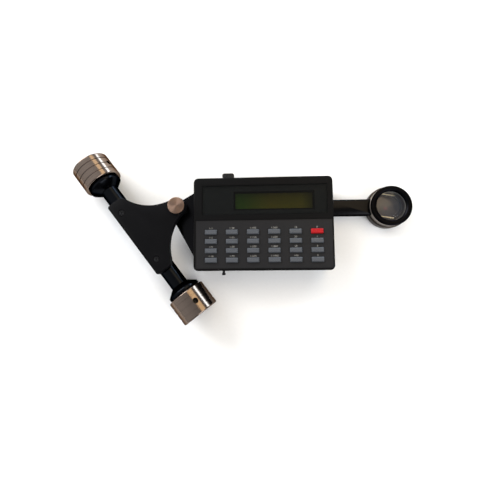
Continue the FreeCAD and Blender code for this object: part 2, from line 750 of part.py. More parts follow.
# Brake lever: a headed pin in a slider that runs behind the front wall.
lever_foot = (s.brake_x, s.case_wall + s.guard_gap + s.brake_plate / 2, s.brake_z)
lever = joined(
    rod("brake_radius", "case_wall + guard_gap + brake_plate / 2 + brake_reach - brake_tip / 2",
        lever_foot, REAR * -1),
    rod("brake_tip_radius", "brake_tip", (s.brake_x, s.brake_tip - s.brake_reach, s.brake_z), REAR * -1),
    block(
        ("brake_plate_length", "brake_plate", "brake_plate_height"),
        (
            s.brake_x - s.brake_plate_length / 2,
            s.case_wall + s.guard_gap,
            s.brake_z - s.brake_plate_height / 2,
        ),
    ),
)
keep("brake_lever", lever, CASE)

# Adapter socket: a plain round jack in the rear wall.
jack_foot = (jack_x, s.case_width, s.jack_z)
jack = less(
    rod("jack_radius", "jack_length", jack_foot, REAR * -1),
    rod("jack_bore", "jack_bore_depth", jack_foot, REAR * -1),
)
keep("adapter_socket", jack, CASE)

# Tracer arm: a bevelled bar with a thin tongue screwed to the tray and an eye at its end.
bar_start = s.case_length + s.seat_gap
bar = block(
    ("lens_x - case_length - seat_gap", "arm_width", "arm_top - arm_base"),
    (bar_start, s.arm_y - s.arm_width / 2, s.arm_base),
)
long_edges = [
    number
    for number in edges_at(bar, s.arm_top)
    if bar.Shape.Edges[number - 1].BoundBox.XLength > s.arm_width
]
bar = softened(bar, s.arm_edge, long_edges)
tongue = block(
    ("arm_tongue + seat_gap + overcut", "arm_width", "arm_top - case_base - case_wall"),
    (s.case_length - s.arm_tongue, s.arm_y - s.arm_width / 2, floor_top),
)
eye = rod("eye_radius", "eye_top - eye_base", (s.lens_x, s.arm_y, s.eye_base))
eye = softened(eye, s.barrel_break, edges_at(eye, s.eye_top))
below_eye = (s.lens_x, s.arm_y, s.eye_base - s.overcut)
eye_hole = rod("barrel_spigot + slip_gap", "arm_top + 2*overcut", below_eye)
barrel_room = rod("barrel_radius + slip_gap", "arm_top - eye_top + overcut", (s.lens_x, s.arm_y, s.eye_top))
tongue_holes = [
    rod("wing_screw_radius + slip_gap", "arm_top - case_base", (x, s.arm_y, floor_top - s.overcut))
    for x in arm_screws
]
keep("tracer_arm", less(joined(bar, tongue, eye), eye_hole, barrel_room, *tongue_holes), CASE)

# Magnifier barrel: turned, with a spigot in the eye, a seat for the glass and, low inside,
# the plate whose two straight edges frame the tracing mark.
gate_base = s.trace_base + s.trace_thick
barrel = turned(
    [
        ("trace_radius + seat_gap", "0"),
        ("barrel_spigot", "0"),
        ("barrel_spigot", "eye_top"),
        ("barrel_radius", "eye_top"),
        ("barrel_radius", "barrel_top - barrel_break"),
        ("barrel_radius - barrel_break", "barrel_top"),
        ("lens_radius + seat_gap", "barrel_top"),
        ("lens_radius + seat_gap", "lens_seat"),
        ("barrel_bore", "lens_seat"),
        ("barrel_bore", "trace_base + trace_thick"),
        ("trace_radius + seat_gap", "trace_base + trace_thick"),
    ],
    (s.lens_x, s.arm_y, 0),
)
gate_plate = rod("barrel_bore + weld", "gate_thick", (s.lens_x, s.arm_y, gate_base))
gate_round = rod("gate_radius", "gate_thick + 2*overcut", (s.lens_x, s.arm_y, gate_base - s.overcut))
gate_slab = block(
    ("4*gate_radius", "gate_width", "gate_thick + 2*overcut"), (-2 * s.gate_radius, -s.gate_width / 2, 0)
)
gate_slab.Placement = (
    Placement(Vector(s.lens_x, s.arm_y, gate_base - s.overcut), Rotation(UP, s.gate_turn))
    * gate_slab.Placement
)
gate_opening = doc.addObject("Part::MultiCommon", "gate_opening")
gate_opening.Shapes = [gate_round, gate_slab]
keep("lens_barrel", joined(barrel, less(gate_plate, gate_opening)), CASE)

# Magnifying glass: flat below, domed above. The dome's sphere passes through edge and crown.
rise = s.lens_crown - s.lens_edge
sphere_radius = (s.lens_radius ** 2 + rise ** 2) / (2 * rise)
ball = doc.addObject("Part::Sphere", "dome")
ball.setExpression(
    "Radius",
    bound("(lens_radius^2 + (lens_crown - lens_edge)^2) / (2*(lens_crown - lens_edge))"),
)
ball.Placement = Placement(
    Vector(s.lens_x, s.arm_y, s.lens_seat + s.lens_crown - sphere_radius), Rotation()
)
lens = doc.addObject("Part::MultiCommon", "lens")
lens.Shapes = [rod("lens_radius", "lens_crown + overcut", (s.lens_x, s.arm_y, s.lens_seat)), ball]
keep("lens_glass", lens, CASE)

ring = turned(
    [
        ("ring_bore", "0"),
        ("ring_radius", "0"),
        ("ring_radius", "ring_thick - ring_edge"),
        ("ring_radius - ring_edge", "ring_thick"),
        ("ring_bore + ring_slope", "ring_thick"),
        ("ring_bore", "ring_thick - ring_slope"),
    ],
    (s.lens_x, s.arm_y, s.barrel_top),
)
keep("lens_ring", ring, CASE)

trace = less(
    rod("trace_radius", "trace_thick", (s.lens_x, s.arm_y, s.trace_base)),
    rod("mark_radius", "trace_thick / 2", (s.lens_x, s.arm_y, s.trace_base)),
)
keep("tracing_plate", trace, CASE)

# Measuring wheel: wheel and journals turned in one, between two bearing cheeks in the blister.
wheel = turned(
    [
        ("0", "0 - journal_left"),
        ("journal_radius", "0 - journal_left"),
        ("journal_radius", "0 - wheel_width / 2"),
        ("wheel_radius - wheel_edge", "0 - wheel_width / 2"),
        ("wheel_radius", "wheel_edge - wheel_width / 2"),
        ("wheel_radius", "wheel_width / 2 - wheel_edge"),
        ("wheel_radius - wheel_edge", "wheel_width / 2"),
        ("journal_radius", "wheel_width / 2"),
        ("journal_radius", "journal_right"),
        ("0", "journal_right"),
    ],
    (s.wheel_x, s.arm_y, s.wheel_radius),
    RIGHT,
)
keep("measuring_wheel", wheel, CASE)

cheeks = [
    less(
        block(
            ("cheek_thick", "cheek_width", "cheek_top - blister_base - blister_wall"),
            (x, s.arm_y - s.cheek_width / 2, blister_floor),
        ),
        rod("journal_radius + run_gap", "cheek_thick + 2*overcut",
            (x - s.overcut, s.arm_y, s.wheel_radius), RIGHT),
    )
    for x in (s.wheel_x - s.cheek_gap - s.cheek_thick, s.wheel_x + s.cheek_gap)
]
keep("wheel_yoke", group(*cheeks), CASE)

disc_x = s.wheel_x + s.disc_offset
disc = less(
    rod("disc_radius", "disc_thick", (disc_x, s.arm_y, s.wheel_radius), RIGHT),
    rod("journal_radius + slip_gap", "disc_thick + 2*overcut",
        (disc_x - s.overcut, s.arm_y, s.wheel_radius), RIGHT),
)
keep("encoder_disc", disc, CASE)

sensor_x = s.wheel_x + s.cheek_gap + s.cheek_thick
sensor = less(
    block(
        ("sensor_length", "sensor_width", "sensor_top - sensor_base"),
        (sensor_x, s.arm_y - s.sensor_width / 2, s.sensor_base),
    ),
    block(
        (
            "disc_thick + 2*guard_gap",
            "sensor_width + 2*overcut",
            "wheel_radius + disc_radius + guard_gap - sensor_base + overcut",
        ),
        (disc_x - s.guard_gap, s.arm_y - s.sensor_width / 2 - s.overcut, s.sensor_base - s.overcut),
    ),
)
keep("encoder_sensor", sensor, CASE)

# Wing bracket: a flat plate from the case's left wall to the pivot.
nose_left = "pivot_x - wing_nose"
wing = padded(
    [
        ("0", "wing_rear"),
        ("0 - wing_hip_x", "arm_y + wing_nose"),
        ("pivot_x", "arm_y + wing_nose"),
        (nose_left, "arm_y"),
        (nose_left, "arm_y - wing_heel"),
        ("0 - wing_knee_x", "wing_knee_y"),
        ("0", "wing_front"),
    ],
    "wing_thick",
    wing_base,
)
wing_disc = rod("wing_nose", "wing_thick", (s.pivot_x, s.arm_y, wing_base))
below_wing = (s.pivot_x, s.arm_y, wing_base - s.overcut)
wing_bore = rod("pin_radius + slip_gap", "wing_thick + 2*overcut", below_wing)
wing_taps = [
    rod("wing_screw_radius + slip_gap", "wing_screw_reach + overcut",
        (s.overcut, y, wing_axis_z), RIGHT * -1)
    for y in wing_screws
]
keep("wing_bracket", less(joined(wing, wing_disc), wing_bore, *wing_taps), CASE)

# Frame screws: three through the case wall into the bracket, two through the arm's tongue.
frame_screws = [
    cap_screw("wing_screw_head", "wing_screw_head_thick", "wing_screw_radius", "wing_screw_reach",
              (s.case_wall, y, wing_axis_z), RIGHT)
    for y in wing_screws
] + [
    cap_screw("wing_screw_head", "wing_screw_head_thick", "wing_screw_radius",
              "arm_top - case_base - guard_gap", (x, s.arm_y, s.arm_top), UP)
    for x in arm_screws
]
keep("frame_screws", group(*frame_screws), CASE)

# Pivot pin: riveted in the bracket, with a shoulder under the carriage plate, a plain journal
# through the plate and a stud for the knob. Heights count from the bracket's underside.
pin = turned(
    [
        ("0", "0 - pin_head"),
        ("pin_head_radius", "0 - pin_head"),
        ("pin_head_radius", "0"),
        ("pin_radius", "0"),
        ("pin_radius", "wing_thick"),
        ("pin_shoulder", "wing_thick"),
        ("pin_shoulder", "plate_top - plate_thick - wing_top + wing_thick - 2*seat_gap"),
        ("pin_journal", "plate_top - plate_thick - wing_top + wing_thick - 2*seat_gap"),
        ("pin_journal", "plate_top - wing_top + wing_thick + seat_gap"),
        ("pin_stud", "plate_top - wing_top + wing_thick + seat_gap"),
        ("pin_stud", "plate_top - wing_top + wing_thick + seat_gap + pin_stud_length"),
        ("0", "plate_top - wing_top + wing_thick + seat_gap + pin_stud_length"),
    ],
    (s.pivot_x, s.arm_y, wing_base),
)
keep("pivot_pin", pin, CASE)

knob = turned(
    [
        ("pin_stud + run_gap", "0"),
        ("knob_radius - knob_edge", "0"),
        ("knob_radius", "knob_edge"),
        ("knob_radius", "knob_thick - knob_edge"),
        ("knob_radius - knob_edge", "knob_thick"),
        ("0", "knob_thick"),
        ("0", "pin_stud_length + seat_gap"),
        ("pin_stud + run_gap", "pin_stud_length + seat_gap"),
    ],
    (s.pivot_x, s.arm_y, s.plate_top + s.guard_gap),
)
keep("pivot_knob", knob, CASE)

# Carriage plate: its waist is cut by two large arcs, and its nose turns on the pivot pin.
# From here on, x runs from the pivot across the axle and y along the axle.
axle = -s.pivot_reach
plate_body = padded(
    [
        ("0 - pivot_reach - plate_back", "plate_corner - plate_half"),
        ("0 - pivot_reach - plate_back + plate_corner", "0 - plate_half"),
        ("plate_end_width - pivot_reach", "0 - plate_half"),
        ("plate_shoulder_width - pivot_reach", "0 - plate_shoulder"),
        ("0", "0 - nose_seat"),
        ("0", "nose_seat"),
        ("plate_shoulder_width - pivot_reach", "plate_shoulder"),
        ("plate_end_width - pivot_reach", "plate_half"),
        ("0 - pivot_reach - plate_back + plate_corner", "plate_half"),
        ("0 - pivot_reach - plate_back", "plate_half - plate_corner"),
    ],
    "plate_thick",
    plate_base,
)
notch_radius = "sqrt((notch_across - pivot_reach)^2 + notch_along^2) - nose_radius"
notches = [
    rod(notch_radius, "plate_thick + 2*overcut",
        (axle + s.notch_across, side * s.notch_along, plate_base - s.overcut))
    for side in (-1, 1)
]
nose = rod("nose_radius", "plate_thick", (0, 0, plate_base))
plate_form = joined(less(plate_body, *notches), nose)
plate_form = softened(plate_form, s.plate_edge, edges_at(plate_form, s.plate_top))
plate_screw_places = [(axle, side * s.plate_screw_offset) for side in (-1, 1)]
head_floor = s.plate_top - s.plate_screw_sink - s.plate_screw_head_thick
plate = less(
    plate_form,
    rod("pin_journal + run_gap", "plate_thick + 2*overcut", (0, 0, plate_base - s.overcut)),
    *[
        rod("plate_screw_radius + slip_gap", "plate_thick + 2*overcut", (x, y, plate_base - s.overcut))
        for x, y in plate_screw_places
    ],
    *[
        rod("plate_screw_head + slip_gap", "plate_screw_head_thick + plate_screw_sink + overcut",
            (x, y, head_floor))
        for x, y in plate_screw_places
    ],
)
keep("carriage_plate", plate, CARRIAGE)

plate_screws = [
    less(
        joined(
            rod("plate_screw_head", "plate_screw_head_thick", (x, y, head_floor)),
            rod(
                "plate_screw_radius",
                "plate_thick - plate_screw_head_thick - plate_screw_sink + plate_screw_grip + weld",
                (x, y, plate_base - s.plate_screw_grip),
            ),
        ),
        hexagon(
            "socket_radius",
            "socket_depth + overcut",
            (x, y, head_floor + s.plate_screw_head_thick - s.socket_depth),
        ),
    )
    for x, y in plate_screw_places
]
keep("plate_screws", group(*plate_screws), CARRIAGE)

# Axle tube: a tube with a flat milled on its top for the plate.
axle_z = s.roller_radius
tube = less(
    rod("tube_radius", "2*tube_half", (axle, -s.tube_half, axle_z), REAR),
    rod("tube_bore", "2*tube_half + 2*overcut", (axle, -s.tube_half - s.overcut, axle_z), REAR),
    block(
        ("2*tube_radius", "2*plate_half + 2*seat_gap", "tube_radius"),
        (axle - s.tube_radius, -s.plate_half - s.seat_gap, plate_base),
    ),
    *[
        rod("plate_screw_radius + slip_gap", "plate_screw_grip + 2*overcut",
            (x, y, plate_base - s.plate_screw_grip))
        for x, y in plate_screw_places
    ],
)
keep("axle_tube", tube, CARRIAGE)

# What stands at both ends of the axle, from the tube's end outwards.
ends = [(-1, REAR * -1), (1, REAR)]
cups = [
    turned(
        [
            ("tube_bore", "0"),
            ("tube_radius", "0"),
            ("cup_radius", "cup_flare"),
            ("cup_radius", "cup_length"),
            ("bearing_radius", "cup_length"),
            ("bearing_radius", "cup_length - bearing_width"),
            ("tube_bore", "cup_length - bearing_width"),
        ],
        (axle, side * s.tube_half, axle_z),
        away,
    )
    for side, away in ends
]
keep("bearing_cups", group(*cups), CARRIAGE)

bearing_start = s.tube_half + s.cup_length - s.bearing_width
ball_circle = (s.race_outer + s.race_inner) / 2
races = []
for side, away in ends:
    foot = (axle, side * bearing_start, axle_z)
    before = (axle, side * (bearing_start - s.overcut), axle_z)
    races.append(less(
        rod("bearing_radius - slip_gap", "bearing_width", foot, away),
        rod("race_outer", "bearing_width + 2*overcut", before, away),
    ))
    races.append(less(
        rod("race_inner", "bearing_width", foot, away),
        rod("axle_radius + run_gap", "bearing_width + 2*overcut", before, away),
    ))
    for number in range(int(s.ball_count)):
        turn = 2 * math.pi * number / int(s.ball_count)
        bead = doc.addObject("Part::Sphere", "bead")
        bead.setExpression("Radius", bound("ball_radius"))
        bead.Placement = Placement(
            Vector(
                axle + ball_circle * math.cos(turn),
                side * (bearing_start + s.bearing_width / 2),
                axle_z + ball_circle * math.sin(turn),
            ),
            Rotation(),
        )
        races.append(bead)
keep("ball_bearings", group(*races), CARRIAGE)

SHAFT_HALF = "tube_half + cup_length + roller_gap + roller_width - axle_inset"
shaft = rod("axle_radius", f"2*({SHAFT_HALF})", (axle, s.axle_inset - roller_end, axle_z), REAR)
keep("axle_shaft", shaft, CARRIAGE)


def grub_axis(degrees):
    """Direction of a radial hole, turned from the top towards the case."""
    turn = math.radians(degrees)
    return Vector(math.sin(turn), 0, math.cos(turn))


# Rollers: heavy turned rims with three fine grooves, a dished outer face and a radial hole.
groove_places = ["roller_width / 4", "roller_width / 2", "3*roller_width / 4"]
rim = [("roller_radius - roller_edge", "0"), ("roller_radius", "roller_edge")]
for place in groove_places:
    rim += [
        ("roller_radius", f"{place} - roller_groove / 2"),
        ("roller_radius - roller_groove_depth", f"{place} - roller_groove / 2"),
        ("roller_radius - roller_groove_depth", f"{place} + roller_groove / 2"),
        ("roller_radius", f"{place} + roller_groove / 2"),
    ]
rim += [
    ("roller_radius", "roller_width - roller_edge"),
    ("roller_radius - roller_edge", "roller_width"),
    ("roller_dish", "roller_width"),
    ("roller_dish", "roller_width - roller_dish_depth"),
    ("roller_hub", "roller_width - roller_dish_depth"),
    ("roller_hub", "roller_width"),
    ("axle_radius + slip_gap", "roller_width"),
    ("axle_radius + slip_gap", "0"),
]
grubs = []
for label, (side, away), degrees in zip(
    ("roller_front", "roller_rear"), ends, (s.grub_turn_front, s.grub_turn_rear)
):
    radial = grub_axis(degrees)
    middle = Vector(axle, side * (roller_start + s.roller_width / 2), axle_z)
    hole = rod("grub_hole", "roller_radius", middle, radial)
    roller = less(turned(rim, (axle, side * roller_start, axle_z), away), hole)
    keep(label, roller, CARRIAGE)
    grub_foot = middle + radial * (s.axle_radius + s.seat_gap)
    grubs.append(less(
        rod("grub_radius", "grub_length", grub_foot, radial),
        hexagon(
            "socket_radius",
            "socket_depth + overcut",
            grub_foot + radial * (s.grub_length - s.socket_depth),
            radial,
        ),
    ))
keep("set_screws", group(*grubs), CARRIAGE)

# Keys: a bevelled cap on a flange that stays under the upper case.
for label, x, y in key_places:
    cap = block(
        ("key_length", "key_width", f"{panel_face - flange_base} + key_proud"),
        (x - s.key_length / 2, y - s.key_width / 2, flange_base),
    )
    cap = softened(cap, s.key_bevel, edges_at(cap, panel_face + s.key_proud))
    flange = block(
        ("key_length + 2*key_flange", "key_width + 2*key_flange", "key_flange_thick"),
        (x - s.key_length / 2 - s.key_flange, y - s.key_width / 2 - s.key_flange, flange_base),
    )
    keep(label, joined(cap, flange), CASE)

doc.recompute()
for item in doc.Objects:
    if "Invalid" in item.State or "Error" in item.State:
        raise RuntimeError(f"{item.Name} ({item.Label}) did not build")
for label, item in nodes.items():
    if item.Shape.isNull() or not item.Shape.isValid():
        raise RuntimeError(f"{label} has no valid shape")
os.makedirs("parts", exist_ok=True)
for label, item in nodes.items():
    item.Shape.exportStep(f"parts/{label}.step")
print(len(nodes), "nodes")
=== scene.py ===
import math

import bmesh
import bpy
from mathutils import Matrix, Vector


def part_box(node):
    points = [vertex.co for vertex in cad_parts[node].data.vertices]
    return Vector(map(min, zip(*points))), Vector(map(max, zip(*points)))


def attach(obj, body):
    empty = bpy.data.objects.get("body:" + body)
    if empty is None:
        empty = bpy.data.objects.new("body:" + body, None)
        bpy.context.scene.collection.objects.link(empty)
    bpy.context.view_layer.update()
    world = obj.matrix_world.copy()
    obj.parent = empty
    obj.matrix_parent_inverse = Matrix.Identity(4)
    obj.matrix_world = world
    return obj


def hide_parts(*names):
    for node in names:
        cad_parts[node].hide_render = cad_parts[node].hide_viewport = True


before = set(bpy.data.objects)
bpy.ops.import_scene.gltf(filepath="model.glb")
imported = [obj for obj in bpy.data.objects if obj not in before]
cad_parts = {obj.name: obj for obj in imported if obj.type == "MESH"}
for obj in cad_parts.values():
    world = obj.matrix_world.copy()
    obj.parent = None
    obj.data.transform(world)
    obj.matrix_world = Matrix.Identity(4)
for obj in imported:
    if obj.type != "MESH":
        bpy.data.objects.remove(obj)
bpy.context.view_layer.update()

# Lower shell. The tray of the case is injection moulded in black plastic with a spark-eroded
# grain. Under its floor sits a blister with a slot for the measuring wheel, and four sinks
# take the case screws. Layouts are in millimetres from the case's front left corner.
MM = 0.001
UP = Vector((0, 0, 1))
case_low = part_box("lower_case")[0]
case_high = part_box("upper_case")[1]
CASE_LENGTH = (case_high.x - case_low.x) / MM
CASE_WIDTH = (case_high.y - case_low.y) / MM
CASE_TOP = case_high.z / MM
CASE_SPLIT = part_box("upper_case")[0].z / MM
CASE_BASE = 7.0
CASE_WALL = 2.2
CASE_CORNER = 5.0
BASE_EDGE = 1.0
PARTING = 0.2
BOSS_INSET = 6.5
ARM_Y = 70.0
ARM_WIDTH = 18.0
WHEEL_X = 30.0
BLISTER = (16.0, 54.0, 58.0, 86.0)
BLISTER_CORNER = 2.0
BLISTER_BASE = 1.5
BLISTER_WALL = 1.2
BLISTER_LAP = 0.5
WHEEL_SLOT = (6.6, 15.2)
SLOT_CORNER = 0.6
SCREW_HEAD = 2.82
SCREW_SHANK = 1.52
ARM_SCREWS = (134.5, 143.5)
BOSS_RADIUS = 4.0
SLIP = 0.1  # play between pieces that fit together
OVERCUT = 1.0  # how far a cutting tool reaches past what it cuts
GRAIN_DEPTH = 0.0001  # metres, as the shader takes it


def at(x, y, z):
    """A point of the frame from millimetres right of, behind and above the case's corner."""
    return Vector((case_low.x + x * MM, case_low.y + y * MM, z * MM))


case_home = Matrix.Translation(at(0, 0, 0))


def arc(centre, radius, start, end, steps):
    """Points of an arc between two angles in radians."""
    points = []
    for step in range(steps + 1):
        turn = start + (end - start) * step / steps
        points.append((centre[0] + radius * math.cos(turn), centre[1] + radius * math.sin(turn)))
    return points


def rectangle(left, front, right, rear, corner=0.0, steps=6):
    """A rectangle in plan with rounded corners."""
    if not corner:
        return [(left, front), (right, front), (right, rear), (left, rear)]
    quarter = math.pi / 2
    centres = [
        (right - corner, rear - corner), (left + corner, rear - corner),
        (left + corner, front + corner), (right - corner, front + corner),
    ]
    points = []
    for turn, centre in enumerate(centres):
        points += arc(centre, corner, turn * quarter, (turn + 1) * quarter, steps)
    return points


def around(x, y, length, width, extra=0.0):
    """Sides of a rectangle about a centre."""
    return (x - length / 2 - extra, y - width / 2 - extra, x + length / 2 + extra, y + width / 2 + extra)


def inset(points, depth):
    """A counterclockwise outline moved inwards."""
    moved = []
    count = len(points)
    for number in range(count):
        before, here, after = (Vector(points[(number + k) % count]) for k in (-1, 0, 1))
        first = (here - before).normalized()
        second = (after - here).normalized()
        inward = Vector((-(first.y + second.y), first.x + second.x)).normalized()
        lean = max(0.5, inward.dot(Vector((-first.y, first.x))))
        spot = here + inward * depth / lean
        moved.append((spot.x, spot.y))
    return moved


def meshed(form, name):
    """The mesh of a finished form."""
    mesh = bpy.data.meshes.new(name)
    form.to_mesh(mesh)
    form.free()
    return mesh


def stacked(points, levels, home=case_home):
    """A solid from a plan outline, with one loop for each height and inset."""
    form = bmesh.new()
    loops = []
    for height, depth in levels:
        ring = inset(points, depth) if depth else points
        loops.append([form.verts.new((x * MM, y * MM, height * MM)) for x, y in ring])
    form.faces.new(loops[0][::-1])
    form.faces.new(loops[-1])
    count = len(points)
    for low, high in zip(loops, loops[1:]):
        for k in range(count):
            form.faces.new((low[k], low[(k + 1) % count], high[(k + 1) % count], high[k]))
    form.transform(home)
    bmesh.ops.recalc_face_normals(form, faces=form.faces)
    return meshed(form, "stacked")


def upright(points, low, high, depth=0, home=case_home):
    """A solid with upright walls between two heights."""
    return stacked(points, [(low, depth), (high, depth)], home)


def rounding(start, end, radius, outward=True, steps=4):
    """Heights and insets of a rounded edge; the edge ends at the second height."""
    levels = []
    for step in range(steps + 1):
        turn = math.pi / 2 * step / steps
        rise, depth = math.sin(turn), 1 - math.cos(turn)
        if not outward:
            rise, depth = depth, 1 - rise
        levels.append((start + (end - start) * rise, radius * depth))
    return levels


def lathe(profile, foot=(0, 0, 0), axis=UP, home=case_home, steps=96):
    """Turn a closed profile of radius and height about an axis through a point."""
    form = bmesh.new()
    rings = []
    for radius, height in profile:
        ring = []
        for k in range(steps):
            turn = 2 * math.pi * k / steps
            ring.append(form.verts.new((radius * math.cos(turn), radius * math.sin(turn), height)))
        rings.append(ring)
    for number, ring in enumerate(rings):
        following = rings[(number + 1) % len(rings)]
        for k in range(steps):
            form.faces.new((ring[k], ring[(k + 1) % steps], following[(k + 1) % steps], following[k]))
    bmesh.ops.remove_doubles(form, verts=form.verts, dist=1e-4)
    form.transform(Matrix.Translation(foot) @ UP.rotation_difference(Vector(axis)).to_matrix().to_4x4())
    form.transform(home @ Matrix.Scale(MM, 4))
    bmesh.ops.recalc_face_normals(form, faces=form.faces)
    return meshed(form, "turned")


def rod(radius, low, high, foot=(0, 0, 0), **how):
    """A round rod between two heights over its foot."""
    return lathe([(0, low), (radius, low), (radius, high), (0, high)], foot, **how)


def carved(mesh, *tools):
    """The mesh with each tool mesh cut away."""
    body = bpy.data.objects.new("carving", mesh)
    bpy.context.scene.collection.objects.link(body)
    cutters = []
    for tool in tools:
        cutter = bpy.data.objects.new("cutter", tool)
        bpy.context.scene.collection.objects.link(cutter)
        cut = body.modifiers.new("cut", "BOOLEAN")
        cut.operation = "DIFFERENCE"
        cut.solver = "EXACT"
        cut.object = cutter
        cutters.append(cutter)
    result = bpy.data.meshes.new_from_object(body.evaluated_get(bpy.context.evaluated_depsgraph_get()))
    for leftover in [body, *cutters]:
        bpy.data.objects.remove(leftover)
    return result


def gathered(*meshes):
    """Several separate meshes as one."""
    form = bmesh.new()
    for mesh in meshes:
        form.from_mesh(mesh)
    return meshed(form, "gathered")


def node(shader, kind, **inputs):
    """Add a shader node and set its inputs by name."""
    made = shader.nodes.new(kind)
    for name, value in inputs.items():
        made.inputs[name.replace("_", " ")].default_value = value
    return made


def varied(colour, shade):
    """A colour made darker, and the same made lighter."""
    return [[min(1.0, channel * part) for channel in colour] for part in (1 - shade, 1 + shade)]


def ramp(shader, source, low, high, start=0.3, end=0.7):
    """Colours from low to high, driven by a value."""
    tones = shader.nodes.new("ShaderNodeValToRGB")
    tones.color_ramp.elements[0].color = (*low, 1)
    tones.color_ramp.elements[0].position = start
    tones.color_ramp.elements[1].color = (*high, 1)
    tones.color_ramp.elements[1].position = end
    shader.links.new(source, tones.inputs["Fac"])
    return tones.outputs["Color"]


def smeared(name, roughness, grime=0.1, **sockets):
    """A material with broad faint smears in its gloss, and the place that its textures follow."""
    material = bpy.data.materials.new(name)
    material.use_nodes = True
    shader = material.node_tree
    surface = shader.nodes["Principled BSDF"]
    for socket, value in sockets.items():
        surface.inputs[socket.replace("_", " ")].default_value = value
    place = shader.nodes.new("ShaderNodeTexCoord").outputs["Object"]
    broad = node(shader, "ShaderNodeTexNoise", Scale=35.0, Detail=5.0, Roughness=0.65)
    shader.links.new(place, broad.inputs["Vector"])
    gloss = node(
        shader, "ShaderNodeMapRange", From_Min=0.3, From_Max=0.7,
        To_Min=roughness * (1 - grime), To_Max=min(1.0, roughness * (1 + grime)),
    )
    shader.links.new(broad.outputs["Fac"], gloss.inputs["Value"])
    shader.links.new(gloss.outputs["Result"], surface.inputs["Roughness"])
    return material, place


def patterned(shader, pattern, colour, shade, relief, depth):
    """Show a pattern in the surface's colour and relief."""
    surface = shader.nodes["Principled BSDF"]
    tones = ramp(shader, pattern, *varied(colour, shade))
    shader.links.new(tones, surface.inputs["Base Color"])
    bump = node(shader, "ShaderNodeBump", Strength=relief, Distance=depth)
    shader.links.new(pattern, bump.inputs["Height"])
    shader.links.new(bump.outputs["Normal"], surface.inputs["Normal"])


def finish(name, colour, roughness, grain=900.0, relief=0.15, shade=0.2, **sockets):
    """A surface with fine grain in its colour and relief."""
    material, place = smeared(name, roughness, **sockets)
    shader = material.node_tree
    fine = node(shader, "ShaderNodeTexNoise", Scale=grain, Detail=4.0)
    shader.links.new(place, fine.inputs["Vector"])
    patterned(shader, fine.outputs["Fac"], colour, shade, relief, GRAIN_DEPTH)
    return material


def show(name, mesh, material, body, stands_for=(), angle=35):
    """Put a finished mesh on its body, smooth but for its sharp edges."""
    mesh.materials.clear()
    mesh.materials.append(material)
    mesh.shade_smooth()
    mesh.set_sharp_from_angle(angle=math.radians(angle))
    piece = bpy.data.objects.new(name, mesh)
    bpy.context.scene.collection.objects.link(piece)
    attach(piece, body)
    if stands_for:
        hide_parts(*stands_for)
    return piece


case_plastic = finish(
    "case_plastic", (0.0032, 0.0032, 0.0034), 0.46, grain=2600, relief=0.3, Specular_IOR_Level=0.07
)
floor_top = CASE_BASE + CASE_WALL
corners = [
    (x, y)
    for x in (BOSS_INSET, CASE_LENGTH - BOSS_INSET)
    for y in (BOSS_INSET, CASE_WIDTH - BOSS_INSET)
]
case_outline = rectangle(0, 0, CASE_LENGTH, CASE_WIDTH, CASE_CORNER)
case_inside = rectangle(
    CASE_WALL, CASE_WALL, CASE_LENGTH - CASE_WALL, CASE_WIDTH - CASE_WALL, CASE_CORNER - CASE_WALL
)
blister_outline = rectangle(*BLISTER, BLISTER_CORNER)
arm_front = ARM_Y - ARM_WIDTH / 2
arm_rear = ARM_Y + ARM_WIDTH / 2
tray = carved(
    stacked(
        case_outline,
        rounding(CASE_BASE, CASE_BASE + BASE_EDGE, BASE_EDGE, outward=False)
        + [(CASE_SPLIT - PARTING, 0), (CASE_SPLIT, PARTING)],
    ),
    upright(case_inside, floor_top, CASE_SPLIT + OVERCUT),
    upright(blister_outline, CASE_BASE - OVERCUT, floor_top + OVERCUT, BLISTER_WALL),
    upright(
        rectangle(CASE_LENGTH - 2 * CASE_WALL, arm_front - SLIP, CASE_LENGTH + OVERCUT, arm_rear + SLIP),
        floor_top, CASE_SPLIT + OVERCUT,
    ),
    *[
        rod(SCREW_HEAD, CASE_BASE - OVERCUT, floor_top + OVERCUT, (x, y, 0), steps=32)
        for x, y in corners
    ],
    *[
        rod(SCREW_SHANK, CASE_BASE - OVERCUT, floor_top + OVERCUT, (x, ARM_Y, 0), steps=24)
        for x in ARM_SCREWS
    ],
)
blister = carved(
    stacked(
        blister_outline,
        rounding(BLISTER_BASE, BLISTER_BASE + BASE_EDGE, BASE_EDGE, outward=False)
        + [(CASE_BASE + BLISTER_LAP, 0)],
    ),
    upright(blister_outline, BLISTER_BASE + BLISTER_WALL, CASE_BASE + OVERCUT, BLISTER_WALL),
    upright(
        rectangle(*around(WHEEL_X, ARM_Y, *WHEEL_SLOT), SLOT_CORNER, 3),
        0, BLISTER_BASE + BLISTER_WALL + OVERCUT,
    ),
)
boss = [
    (SCREW_SHANK, floor_top), (BOSS_RADIUS, floor_top),
    (BOSS_RADIUS, CASE_SPLIT), (SCREW_SHANK, CASE_SPLIT),
]
bosses = [lathe(boss, (x, y, 0), steps=32) for x, y in corners]
lower = gathered(tray, blister, *bosses)
show("lower_shell", lower, case_plastic, "main_unit", ["lower_case"])

